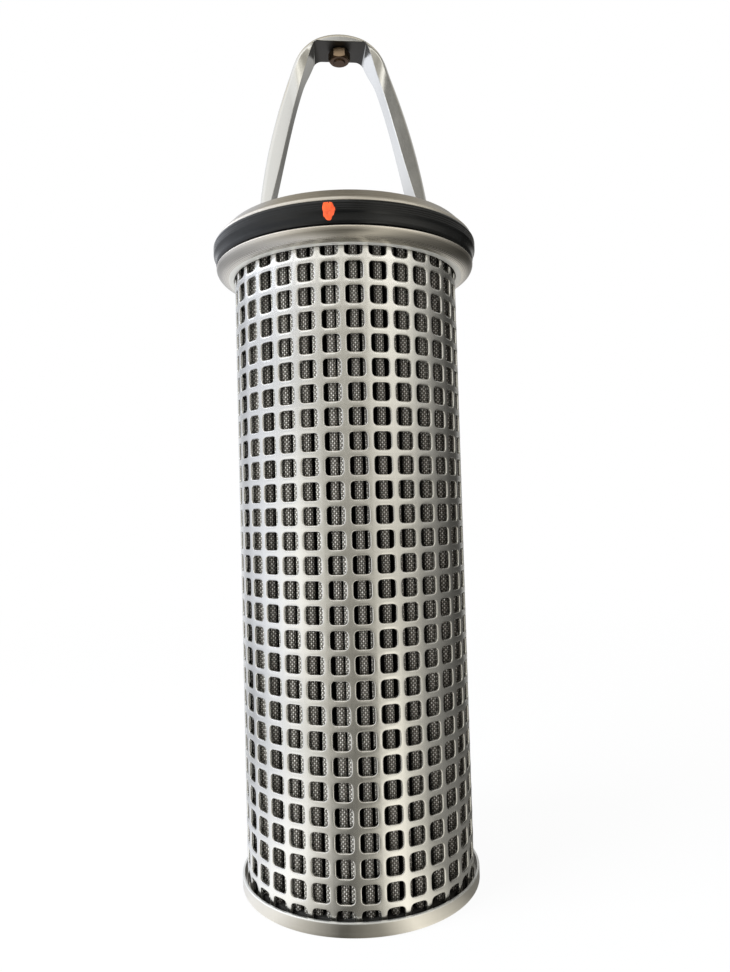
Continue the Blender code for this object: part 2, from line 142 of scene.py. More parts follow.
AT_THE_BAIL = (
    (-180, 0.45, 0.0), (-175, 0.95, -0.5), (-150, 0.90, -0.3), (-116, 1.10, 0.0), (-60, 1.25, 0.0),
    (-30, 1.20, 0.0), (0, 1.08, 0.1), (5, 0.26, 0.4), (40, 0.24, 0.5), (58, 0.26, 0.5),
    (84, 0.45, 0.4), (116, 0.60, 0.3), (145, 0.70, 0.2), (160, 0.18, 0.3), (175, 0.12, 0.3),
    (180, 0.45, 0.0),
)
# Where each further band sets in and where it is full, in metres up the wall.
# Below nought they are metres inwards over the ground.
TENT_BANDS = (
    (-0.68, -0.45, ON_THE_GROUND), (-0.45, 0.11, LOW_ON_THE_WALL), (0.11, 0.43, HALFWAY_UP),
    (0.580, 0.594, AT_THE_FLANGE), (0.64, 0.70, AT_THE_BAIL),
)
TENT_STRENGTH = 4.0
# How much green and blue a warmth of one takes from the cloth.
WARM_GREEN, WARM_BLUE = 0.06, 0.22
TENT_OPENING, TENT_HEM, TENT_EYE, TENT_STEPS = 0.09, 0.0004, 0.02, 64
# The roof is darkest within a radius round one point, and gains light with the distance beyond it.
ROOF_COLOR, ROOF_DARKEST, ROOF_DARK_RADIUS, ROOF_GAIN = (0.42, 0.39, 0.33), (0.12, 0.25, 1.2), 0.15, 1.7
ROOF_BAND = 0.002


def length(name, description, default):
    return FloatProperty(
        name=name, description=description, default=default, min=0.0, precision=5, unit="LENGTH"
    )


def angle(name, description, default):
    return FloatProperty(name=name, description=description, default=default, subtype="ANGLE")


def number(name, description, default):
    return FloatProperty(name=name, description=description, default=default)


def color(name, description, default):
    return FloatVectorProperty(
        name=name, description=description, default=default, size=3, min=0.0, max=1.0, subtype="COLOR"
    )


class JacketSettings(bpy.types.PropertyGroup):
    columns: IntProperty(name="Columns", description="Columns of holes round the jacket", default=32)
    rows: IntProperty(name="Rows", description="Rows of holes from the foot to the flange", default=28)
    top_row: length("Top row", "Height of the centre of the top row of holes", 0.3033)
    row_pitch: length("Row pitch", "Distance between the centres of two rows", 0.011)
    hole: length("Hole", "Width of a square hole", 0.0081)
    corner: length("Corner", "Radius in a hole's corners", 0.0016)
    wall: length("Wall", "Thickness of the sheet", 0.002)
    rim: length("Rim", "Width of the rounded edge round each hole", 0.0005)
    seam_width: length("Seam width", "Width of the weld bead up the back", 0.0022)
    seam_stand: length("Seam stand", "How far the weld bead stands out of the sheet", 0.00035)
    steel: color("Steel", "Colour of the sheet", (0.78, 0.78, 0.76))
    # Painted highlight: the rounded rims get a lighter, partly diffuse steel, so they show as a bright line
    # round each hole.
    rim_steel: color("Rim steel", "Colour of the painted_light edges round the holes", (0.97, 0.97, 0.95))


class MeshPackSettings(bpy.types.PropertyGroup):
    pleats: IntProperty(name="Pleats", description="Pleats round the basket", default=58)
    depth: length("Depth", "Depth of a pleat", 0.008)
    ridge: length("Ridge", "Radius of the round head of a pleat", 0.00195)
    unevenness: number("Unevenness", "Share of a pleat by which pleats wander", 0.12)
    valley: length("Valley", "Radius of the fold at the bottom of a pleat", 0.0006)
    wire_pitch: length("Wire pitch", "Distance between the wires of the support mesh", 0.00098)
    fine_pitch: length("Fine pitch", "Distance between the wires of the filter mesh", 0.00045)
    # Painted highlight: the knuckles are coloured near white for the light that the tops of the wires catch.
    knuckle: color("Knuckle", "Colour of the worn tops of the wires", (0.95, 0.91, 0.84))
    wire: color("Wire", "Colour of the wires between their tops", (0.20, 0.18, 0.155))
    # Painted shade: the gaps are not open but coloured near black for the shade seen through them.
    gap: color("Gap", "Colour of the gaps between the wires", (0.02, 0.018, 0.016))
    # Painted shade down in the pleats' folds: below the head, the colour goes to near black and the shine
    # drops, over these depths.
    fold_shade: color("Shade", "Colour of the oily folds", (0.006, 0.006, 0.006))
    fold_shade_from: length("Oil from", "Depth in the folds at which the oil begins", 0.0013)
    fold_shade_fade: length("Oil fade", "Depth over which the oil sets in", 0.0016)


class FlangeSettings(bpy.types.PropertyGroup):
    bore: length("Bore", "Radius of the flange's bore", 0.04086)
    sleeve: length("Sleeve", "Thickness of the sleeve inside the pleats", 0.001)
    groove_low: length("Groove bottom", "Height of the groove's lower side", 0.3089)
    groove_high: length("Groove top", "Height of the groove's upper side", 0.3200)
    groove_depth: length("Groove depth", "Depth of the groove for the seal", 0.006)
    chamfer_across: length("Chamfer across", "Width of the rim's chamfer", 0.0053)
    chamfer_down: length("Chamfer down", "Height of the rim's chamfer", 0.0053)
    lip_up: length("Lip up", "Height of the lower lip's rounding", 0.0058)
    lip_below: length("Lip below", "How far the lip's rounding reaches below the flange's body", 0.0008)
    recess: length("Recess", "Depth of the recess that takes the jacket", 0.0078)
    edge: length("Edge", "Width of the broken edges", 0.00025)
    # Painted highlight: a thin band of lighter, half-metallic steel under the lip stands for the light line
    # along its lower edge.
    highlight_height: length("Highlight height", "Height of the bright worn edge under the lip", 0.0004)
    steel: color("Steel", "Colour of the turned steel", (0.50, 0.475, 0.43))
    highlight_steel: color("Highlight steel", "Colour of the worn edge under the lip", (0.78, 0.76, 0.71))


class SealSettings(bpy.types.PropertyGroup):
    bead: length("Bead", "Height of the rounding at the top and bottom of a bead", 0.0016)
    foot_round: length("Foot round", "Radius of the rounding at the foot of the lower bead", 0.0019)
    waist: length("Waist", "Depth of the grooves between the beads", 0.0007)
    drop: length("Drop", "How far the seal has settled in its groove", 0.0008)
    foot_lift: length("Foot lift", "How far the seal's foot stays above the groove's lower side", 0.0007)
    lower_out: length("Lower stand out", "How far the lower bead stands out of the flange", 0.0002)
    line_shares: FloatVectorProperty(
        name="Lines", description="Places of the fine moulded lines", default=(0.86, 0.5, 0.16)
    )
    line_height: length("Line height", "Height of a fine moulded line", 0.0005)
    line_depth: length("Line depth", "Depth of a fine moulded line", 0.00018)
    rubber: color("Rubber", "Colour of the rubber", (0.004, 0.0045, 0.005))


class CupSettings(bpy.types.PropertyGroup):
    lip_drop: length("Lip drop", "How far the lip's edge is trimmed below the blank", 0.0014)
    wall: length("Wall", "Thickness of the cup's lip", 0.0012)
    floor: length("Floor", "Thickness of the cup's floor", 0.0015)
    corner: length("Corner", "Radius of the rounded foot", 0.0013)
    crease_height: length("Crease height", "Height of the faint crease above the foot", 0.0030)
    crease_depth: length("Crease depth", "Depth of the faint crease", 0.00012)
    steel: color("Steel", "Colour of the pressed steel", (0.66, 0.645, 0.61))
    # Painted highlight: the top of the lip gets a lighter, partly diffuse steel for the bright line along its
    # edge.
    lip_steel: color("Lip steel", "Colour of the painted_light edge of the lip", (0.80, 0.80, 0.78))


class BailSettings(bpy.types.PropertyGroup):
    crown_radius: length("Crown radius", "Radius of the arch over the seat", 0.0270)
    crown: length("Crown", "Thickness of the crown above the seat", 0.0044)
    seat_half: length("Seat half length", "Half of the flat seat's length", 0.01377)
    seat_corner: length("Seat corner", "Radius where the seat meets a leg", 0.0012)
    shoulder_angle: angle(
        "Shoulder angle", "Angle of the crown's arc on each side of the top", math.radians(70.0)
    )
    foot: length("Foot", "Thickness of a leg at its foot", 0.0029)
    inner_bow: length("Inner bow", "Bow of a leg's inner side", 0.0018)
    inner_skew: number("Inner skew", "How far the inner bow lies towards the seat", 2.1)
    outer_bow: length("Outer bow", "Bow of a leg's outer side", 0.0033)
    head_width: length("Head width", "Width of the crown from front to back", 0.0187)
    waist_width: length("Waist width", "Width of a leg at its narrowest", 0.0112)
    head_depth: length("Head depth", "How far the full width runs down from the top", 0.007)
    waist_below: length("Waist below top", "Distance from the top to the waist", 0.0204)
    back_corner: length("Back corner", "Radius where the seat meets a leg at the back", 0.0050)
    edge: length("Edge", "Width of the broken edges on the inner side", 0.0003)
    outer_edge: length("Outer edge", "Most that the edges on the outer side are rounded", 0.0023)
    outer_share: number("Outer share", "Share of the thickness that is rounded", 0.5)
    weld: length("Weld", "Radius of the weld bead round a foot", 0.0014)
    steel: color("Steel", "Colour of the bail", (0.72, 0.72, 0.70))
    # Painted shade: the seat's downward faces under the crown are coloured near black and dull for the shade
    # they lie in.
    scale: color("Scale", "Colour of the dull seat under the crown", (0.075, 0.072, 0.07))


class NutSettings(bpy.types.PropertyGroup):
    across_flats: length("Across flats", "Width of the nut across its flats", 0.010)
    turn: angle("Turn", "Angle at which the nut came tight", math.radians(26.0))
    chamfer: length("Chamfer", "Height of the chamfer at a corner", 0.0007)
    thread: length("Thread", "Depth of the stud's thread", 0.0003)
    thread_pitch: length("Thread pitch", "Distance between two turns of the thread", 0.001)
    bronze: color("Bronze", "Colour of the nut and the stud", (0.40, 0.29, 0.19))
    # Painted shade: the downward faces of the nut and the stud are coloured dark for the shade under them.
    stain: color("Stain", "Colour of the painted_shade underside", (0.085, 0.05, 0.03))


class PaintSettings(bpy.types.PropertyGroup):
    bearing: angle(
        "Bearing", "Place of the dab round the seal, from the front towards +X", math.radians(-9.6)
    )
    width: length("Width", "Width of the dab of paint", 0.0054)
    height: length("Height", "Height of the dab of paint", 0.0078)
    stand: length("Stand", "Thickness of the paint", 0.00018)
    level: number("Level", "Height of the dab's middle as a share of the seal", 0.57)
    paint: color("Paint", "Colour of the paint", (0.88, 0.10, 0.02))


class StageSettings(bpy.types.PropertyGroup):
    camera_distance: length("Camera distance", "Distance from the strainer's axis to the camera", 0.390894)
    camera_height: length("Camera height", "Height of the camera above the foot", 0.1832)
    focal_pixels: number("Focal length", "Focal length in the photograph's pixels", 755.5)
    turn: angle("Turn", "Turn of the strainer to the camera", math.radians(4.0))
    yaw: angle("Yaw", "How far the camera looks to its right", 0.0186)
    tilt: angle("Tilt", "How far the camera looks up", 0.0355)
    roll: angle("Roll", "How far the camera leans", 0.028)
    floor_size: length("Floor size", "Width of the floor", 6.0)
    floor: color("Floor", "Colour of the floor", (0.90, 0.90, 0.90))
    near_glow: number("Near glow", "White mixed into the floor at the strainer", 0.94)
    tent_radius: length("Tent radius", "Radius of the cloth tent that the metal reflects", 0.80)
    tent_height: length("Tent height", "Height of the tent", 1.20)


def deselect_all():
    if bpy.context.object and bpy.context.object.mode != "OBJECT":
        bpy.ops.object.mode_set(mode="OBJECT")
    bpy.ops.object.select_all(action="DESELECT")


def pick_only(thing):
    deselect_all()
    thing.select_set(True)
    bpy.context.view_layer.objects.active = thing


def apply_place(thing):
    pick_only(thing)
    bpy.ops.object.transform_apply(location=True, rotation=True, scale=True)


def apply_modifier(thing, kind, **values):
    """Adds one modifier with these values and applies it."""
    pick_only(thing)
    modifier = thing.modifiers.new(kind.title(), kind)
    for name, value in values.items():
        setattr(modifier, name, value)
    bpy.ops.object.modifier_apply(modifier=modifier.name)


def break_edges(thing, width, least_angle):
    """Bevels the edges at which the faces turn by more than this angle."""
    apply_modifier(thing, "BEVEL", width=width, segments=2, limit_method="ANGLE", angle_limit=least_angle)


def edit(thing, select_mode="VERT"):
    pick_only(thing)
    bpy.ops.object.mode_set(mode="EDIT")
    bpy.ops.mesh.select_mode(type=select_mode)


def leave_edit():
    bpy.ops.object.mode_set(mode="OBJECT")


def select_in_edit(thing, wanted, elements="verts"):
    """In edit mode, selects the vertices, edges or faces for which wanted is true, and nothing else."""
    bpy.ops.mesh.select_all(action="DESELECT")
    form = bmesh.from_edit_mesh(thing.data)
    for element in getattr(form, elements):
        if wanted(element):
            element.select_set(True)
    form.select_flush(True)
    bmesh.update_edit_mesh(thing.data)


def close_and_orient(thing):
    """Merges what meets and turns all faces outwards."""
    edit(thing)
    bpy.ops.mesh.select_all(action="SELECT")
    bpy.ops.mesh.remove_doubles(threshold=WELD_DISTANCE)
    bpy.ops.mesh.normals_make_consistent(inside=False)
    leave_edit()


def smooth(thing, angle=SMOOTH_ANGLE):
    pick_only(thing)
    bpy.ops.object.shade_smooth_by_angle(angle=angle)


def smooth_round_edges(thing, angle=SMOOTH_ANGLE):
    """Smooth shading that leaves the flat faces beside a rounded edge flat."""
    smooth(thing, angle)
    apply_modifier(thing, "WEIGHTED_NORMAL", mode="FACE_AREA", weight=50, keep_sharp=True)


def finish_piece(thing, name, material, slot, *nodes):
    """Names a finished piece, gives it its material and lets it ride on the strainer."""
    thing.name = name
    thing.data.name = name
    thing.data.materials.clear()
    thing.data.materials.append(material)
    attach(thing, "root")
    if nodes:
        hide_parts(*nodes)
    return thing


def add_finish(thing, material, wanted):
    """Gives a further material to the faces for which wanted is true."""
    thing.data.materials.append(material)
    edit(thing, "FACE")
    select_in_edit(thing, wanted, "faces")
    thing.active_material_index = len(thing.data.materials) - 1
    bpy.ops.object.material_slot_assign()
    leave_edit()


def arc(centre, radius_across, radius_up, start, end, steps):
    """Points on an ellipse's arc, at angles from the +X side, both ends among them."""
    points = []
    for step in range(steps + 1):
        angle = start + (end - start) * step / steps
        points.append((centre[0] + radius_across * math.cos(angle), centre[1] + radius_up * math.sin(angle)))
    return points


def turn_profile(profile, steps, capped=False):
    """A circle extruded from point to point of a (radius, height) profile, closed to a ring or capped."""
    radius, height = profile[0]
    deselect_all()
    fill = "NGON" if capped else "NOTHING"
    bpy.ops.mesh.primitive_circle_add(vertices=steps, radius=radius, fill_type=fill, location=(0, 0, height))
    ring = bpy.context.object
    apply_place(ring)
    edit(ring, "EDGE")
    bpy.ops.mesh.select_all(action="SELECT")
    if capped:
        bpy.ops.mesh.region_to_loop()
    route = profile[1:] if capped else profile[1:] + profile[:1]
    for next_radius, next_height in route:
        bpy.ops.mesh.extrude_edges_move(TRANSFORM_OT_translate={"value": (0, 0, next_height - height)})
        share = next_radius / radius
        bpy.ops.transform.resize(value=(share, share, 1.0), center_override=(0, 0, next_height))
        radius, height = next_radius, next_height
    if capped:
        bpy.ops.mesh.edge_face_add()
    leave_edit()
    close_and_orient(ring)
    return ring


def link(tree, source, target):
    tree.links.new(source, target)


def add_node(tree, kind, **values):
    node = tree.nodes.new(kind)
    for name, value in values.items():
        setattr(node, name, value)
    return node


def math_node(tree, operation, first, second=None, clamp=False):
    """A Math node whose inputs are sockets or numbers; returns its output."""
    node = add_node(tree, "ShaderNodeMath", operation=operation, use_clamp=clamp)
    for socket, value in zip(node.inputs, (first, second)):
        if value is None:
            continue
        if isinstance(value, bpy.types.NodeSocket):
            link(tree, value, socket)
        else:
            socket.default_value = value
    return node.outputs["Value"]


def radius_from(tree, split):
    """The distance from the strainer's axis, from a Separate XYZ node."""
    across = math_node(tree, "MULTIPLY", split.outputs["X"], split.outputs["X"])
    along = math_node(tree, "MULTIPLY", split.outputs["Y"], split.outputs["Y"])
    return math_node(tree, "SQRT", math_node(tree, "ADD", across, along))


def mix_colors(tree, factor, first, second):
    """A Mix node between two colours; each input is a socket or a value."""
    node = add_node(tree, "ShaderNodeMix", data_type="RGBA")
    sockets = [s for s in node.inputs if s.enabled]
    for socket, value in zip(sockets, (factor, first, second)):
        if isinstance(value, bpy.types.NodeSocket):
            link(tree, value, socket)
        elif isinstance(value, float):
            socket.default_value = value
        else:
            socket.default_value = (*value, 1.0)
    return next(s for s in node.outputs if s.enabled)


def new_group(name, inputs, outputs):
    """An empty shader node group with float or vector sockets; returns it with its two end nodes."""
    group = bpy.data.node_groups.new(name, "ShaderNodeTree")
    for label, kind, default in inputs:
        socket = group.interface.new_socket(label, in_out="INPUT", socket_type=kind)
        if default is not None:
            socket.default_value = default
    for label, kind in outputs:
        group.interface.new_socket(label, in_out="OUTPUT", socket_type=kind)
    return group, group.nodes.new("NodeGroupInput"), group.nodes.new("NodeGroupOutput")


def make_grain_group():
    """Fine grain stretched along chosen axes, with broad soft patches: a grain value and a patch value."""
    group, given, out = new_group(
        "satin_grain",
        [("Vector", "NodeSocketVector", None), ("Stretch", "NodeSocketVector", (1.0, 1.0, 1.0)),
         ("Grain Scale", "NodeSocketFloat", 900.0), ("Patch Scale", "NodeSocketFloat", 40.0)],
        [("Grain", "NodeSocketFloat"), ("Patch", "NodeSocketFloat")],
    )
    stretched = add_node(group, "ShaderNodeVectorMath", operation="MULTIPLY")
    link(group, given.outputs["Vector"], stretched.inputs[0])
    link(group, given.outputs["Stretch"], stretched.inputs[1])
    grain = add_node(group, "ShaderNodeTexNoise")
    grain.inputs["Detail"].default_value = 2.0
    link(group, stretched.outputs["Vector"], grain.inputs["Vector"])
    link(group, given.outputs["Grain Scale"], grain.inputs["Scale"])
    patch = add_node(group, "ShaderNodeTexNoise")
    patch.inputs["Detail"].default_value = 3.0
    link(group, given.outputs["Vector"], patch.inputs["Vector"])
    link(group, given.outputs["Patch Scale"], patch.inputs["Scale"])
    link(group, grain.outputs["Fac"], out.inputs["Grain"])
    link(group, patch.outputs["Fac"], out.inputs["Patch"])
    return group


def make_turning_group():
    """Marks of a lathe tool: fine rings that follow the radius and the height."""
    group, given, out = new_group(
        "turning_marks",
        [("Vector", "NodeSocketVector", None), ("Ring Scale", "NodeSocketFloat", 2600.0),
         ("Swirl Scale", "NodeSocketFloat", 18.0)],
        [("Rings", "NodeSocketFloat"), ("Swirl", "NodeSocketFloat")],
    )
    split = add_node(group, "ShaderNodeSeparateXYZ")
    link(group, given.outputs["Vector"], split.inputs["Vector"])
    radius = radius_from(group, split)
    place = add_node(group, "ShaderNodeCombineXYZ")
    link(group, radius, place.inputs["X"])
    link(group, split.outputs["Z"], place.inputs["Y"])
    rings = add_node(group, "ShaderNodeTexNoise", noise_dimensions="2D")
    rings.inputs["Detail"].default_value = 3.0
    link(group, place.outputs["Vector"], rings.inputs["Vector"])
    link(group, given.outputs["Ring Scale"], rings.inputs["Scale"])
    swirl = add_node(group, "ShaderNodeTexNoise")
    swirl.inputs["Detail"].default_value = 2.0
    link(group, given.outputs["Vector"], swirl.inputs["Vector"])
    link(group, given.outputs["Swirl Scale"], swirl.inputs["Scale"])
    link(group, rings.outputs["Fac"], out.inputs["Rings"])
    link(group, swirl.outputs["Fac"], out.inputs["Swirl"])
    return group


def make_weave_group():
    """Plain woven wire on a UV map in metres: how high the wires stand, and where there is wire at all."""
    group, given, out = new_group(
        "woven_wire",
        [("UV", "NodeSocketVector", None), ("Pitch", "NodeSocketFloat", 0.001)],
        [("Height", "NodeSocketFloat"), ("Wire", "NodeSocketFloat"), ("Knuckle", "NodeSocketFloat")],
    )
    split = add_node(group, "ShaderNodeSeparateXYZ")
    link(group, given.outputs["UV"], split.inputs["Vector"])

    def waves(axis):
        """A cosine with one wire on each whole number of pitches."""
        pitches = math_node(group, "DIVIDE", split.outputs[axis], given.outputs["Pitch"])
        return math_node(group, "COSINE", math_node(group, "MULTIPLY", pitches, math.pi))

    across_cosine = waves("X")
    up_cosine = waves("Y")
    over = math_node(group, "MULTIPLY", across_cosine, up_cosine)
    warp_body = math_node(group, "ABSOLUTE", across_cosine)
    weft_body = math_node(group, "ABSOLUTE", up_cosine)

    def strand(body, side):
        """Height of one set of wires: round across the wire, and rising and falling along it."""
        round_top = math_node(group, "SUBTRACT", math_node(group, "MULTIPLY", body, 2.2), 1.2)
        wave = math_node(group, "MULTIPLY", math_node(group, "MULTIPLY", over, side), 0.5)
        return math_node(group, "ADD", math_node(group, "MAXIMUM", round_top, -1.0), wave)

    def past(value, start, slope):
        """0 up to the start, and from there a rise to 1."""
        return math_node(group, "MULTIPLY", math_node(group, "SUBTRACT", value, start), slope, clamp=True)

    warp = strand(warp_body, 1.0)
    weft = strand(weft_body, -1.0)
    height = math_node(group, "MAXIMUM", warp, weft)
    link(group, height, out.inputs["Height"])
    link(group, past(height, 0.05, 3.0), out.inputs["Wire"])
    on_warp = past(warp_body, 0.55, 3.3)
    on_top = past(over, 0.25, 2.5)
    link(group, math_node(group, "MULTIPLY", on_warp, on_top), out.inputs["Knuckle"])
    return group


def shared_group(name, maker):
    return bpy.data.node_groups.get(name) or maker()


def place_group(tree, group, vector, **values):
    node = add_node(tree, "ShaderNodeGroup")
    node.node_tree = group
    link(tree, vector, node.inputs[0])
    for label, value in values.items():
        node.inputs[label.replace("_", " ").title()].default_value = value
    return node


def new_surface(name, metallic, roughness, specular=0.5):
    """A material with a Principled BSDF; returns it with its tree and shader."""
    material = bpy.data.materials.new(name)
    material.use_nodes = True
    shader = material.node_tree.nodes["Principled BSDF"]
    shader.inputs["Metallic"].default_value = metallic
    shader.inputs["Roughness"].default_value = roughness
    shader.inputs["Specular IOR Level"].default_value = specular
    return material, material.node_tree, shader


def add_bump(tree, shader, height, strength, distance):
    bump = add_node(tree, "ShaderNodeBump")
    bump.inputs["Strength"].default_value = strength
    bump.inputs["Distance"].default_value = distance
    link(tree, height, bump.inputs["Height"])
    link(tree, bump.outputs["Normal"], shader.inputs["Normal"])


def spread(tree, value, middle, swing):
    """Turns a noise value round 0.5 into one round middle."""
    shifted = math_node(tree, "SUBTRACT", value, 0.5)
    return math_node(tree, "ADD", math_node(tree, "MULTIPLY", shifted, swing), middle, clamp=True)


def darker(tint, share):
    return tuple(channel * share for channel in tint)


def satin_surface(
    name, tint, roughness, stretch, grain_scale=900.0, patch_scale=40.0, swing=1.2, bump=0.12, metallic=1.0
):
    """Satin sheet steel with a fine grain and soft patches."""
    material, tree, shader = new_surface(name, metallic, roughness)
    place = add_node(tree, "ShaderNodeTexCoord").outputs["Object"]
    grain = place_group(
        tree, shared_group("satin_grain", make_grain_group), place,
        stretch=stretch, grain_scale=grain_scale, patch_scale=patch_scale,
    )
    mixed = math_node(tree, "MULTIPLY", grain.outputs["Patch"], 0.6)
    mixed = math_node(tree, "ADD", mixed, math_node(tree, "MULTIPLY", grain.outputs["Grain"], 0.4))
    tone = mix_colors(tree, spread(tree, mixed, 0.5, swing), darker(tint, 0.85), tint)
    link(tree, tone, shader.inputs["Base Color"])
    link(tree, spread(tree, mixed, roughness, 0.2), shader.inputs["Roughness"])
    add_bump(tree, shader, grain.outputs["Grain"], bump, 0.00005)
    return material


def turned_surface(name, tint, roughness, low, painted_light_by_height):
    """Steel turned on a lathe: fine rings, an uneven tone, and light and shade painted by height.

    Each step of the list gives a height above low and the share of the tint there: above one it paints a
    highlight, below one it paints shade.
    """
    material, tree, shader = new_surface(name, 1.0, roughness)
    place = add_node(tree, "ShaderNodeTexCoord").outputs["Object"]
    marks = place_group(tree, shared_group("turning_marks", make_turning_group), place)
    tone = mix_colors(tree, spread(tree, marks.outputs["Rings"], 0.5, 1.8), darker(tint, 0.72), tint)
    patchy = mix_colors(tree, spread(tree, marks.outputs["Swirl"], 0.45, 2.6), darker(tint, 0.66), tone)
    split = add_node(tree, "ShaderNodeSeparateXYZ")
    link(tree, place, split.inputs["Vector"])
    # This ramp paints light and shade by height.
    ramp = add_node(tree, "ShaderNodeValToRGB")
    base, span = painted_light_by_height[0][0], painted_light_by_height[-1][0] - painted_light_by_height[0][0]
    above = math_node(tree, "SUBTRACT", split.outputs["Z"], low + base)
    link(tree, math_node(tree, "DIVIDE", above, span), ramp.inputs["Fac"])
    stops = ramp.color_ramp.elements
    for height, share in painted_light_by_height:
        position = (height - base) / span
        stop = {0.0: stops[0], 1.0: stops[-1]}.get(position) or stops.new(position)
        stop.color = (share, share, share, 1.0)
    # Multiplies the painted light and shade into the steel's colour.
    shaded_by_height = add_node(tree, "ShaderNodeMix", data_type="RGBA", blend_type="MULTIPLY")
    sockets = [socket for socket in shaded_by_height.inputs if socket.enabled]
    sockets[0].default_value = 1.0
    link(tree, patchy, sockets[1])
    link(tree, ramp.outputs["Color"], sockets[2])
    link(tree, next(socket for socket in shaded_by_height.outputs if socket.enabled), shader.inputs["Base Color"])
    link(tree, spread(tree, marks.outputs["Rings"], roughness, 0.3), shader.inputs["Roughness"])
    add_bump(tree, shader, marks.outputs["Rings"], 0.35, 0.00008)
    return material


def woven_surface(name, settings, pitch, ridge_radius):
    """Woven wire: round wires with knuckles painted bright as a highlight, gaps painted dark as shade, and
    painted shade deep in the folds.
    """
    material, tree, shader = new_surface(name, 0.25, 0.38)
    split = add_node(tree, "ShaderNodeSeparateXYZ")
    link(tree, add_node(tree, "ShaderNodeTexCoord").outputs["Object"], split.inputs["Vector"])
    radius = radius_from(tree, split)
    # Painted shade: 0 near the pleat's head, rising to 1 deep in the fold.
    down = math_node(tree, "SUBTRACT", ridge_radius - settings.fold_shade_from, radius)
    shaded = math_node(tree, "DIVIDE", down, settings.fold_shade_fade, clamp=True)
    uv = add_node(tree, "ShaderNodeUVMap", uv_map="UVMap").outputs["UV"]
    weave = place_group(tree, shared_group("woven_wire", make_weave_group), uv, pitch=pitch)
    # The wire's colour, with painted shade in the gaps.
    dull = mix_colors(tree, weave.outputs["Wire"], settings.gap[:], settings.wire[:])
    # The near-white knuckles are a painted highlight.
    tone = mix_colors(tree, weave.outputs["Knuckle"], dull, settings.knuckle[:])
    link(tree, mix_colors(tree, shaded, tone, settings.fold_shade[:]), shader.inputs["Base Color"])
    # Less shine deep in the folds, also part of the painted shade.
    shine = math_node(tree, "MULTIPLY", math_node(tree, "SUBTRACT", 1.0, shaded), 0.5)
    link(tree, shine, shader.inputs["Specular IOR Level"])
    add_bump(tree, shader, weave.outputs["Height"], 0.8, pitch * 0.3)
    return material


def plain_surface(name, tint, metallic, roughness, patch_scale, bump, specular=0.5):
    """A dull surface with soft patches and a fine grain, for rubber, resin, bronze and paint."""
    material, tree, shader = new_surface(name, metallic, roughness, specular)
    place = add_node(tree, "ShaderNodeTexCoord").outputs["Object"]
    grain = place_group(
        tree, shared_group("satin_grain", make_grain_group), place,
        stretch=(1.0, 1.0, 1.0), grain_scale=2200.0, patch_scale=patch_scale,
    )
    tone = mix_colors(tree, spread(tree, grain.outputs["Patch"], 0.5, 2.4), darker(tint, 0.65), tint)
    link(tree, tone, shader.inputs["Base Color"])
    link(tree, spread(tree, grain.outputs["Patch"], roughness, 0.3), shader.inputs["Roughness"])
    add_bump(tree, shader, grain.outputs["Grain"], bump, 0.0001)
    return material


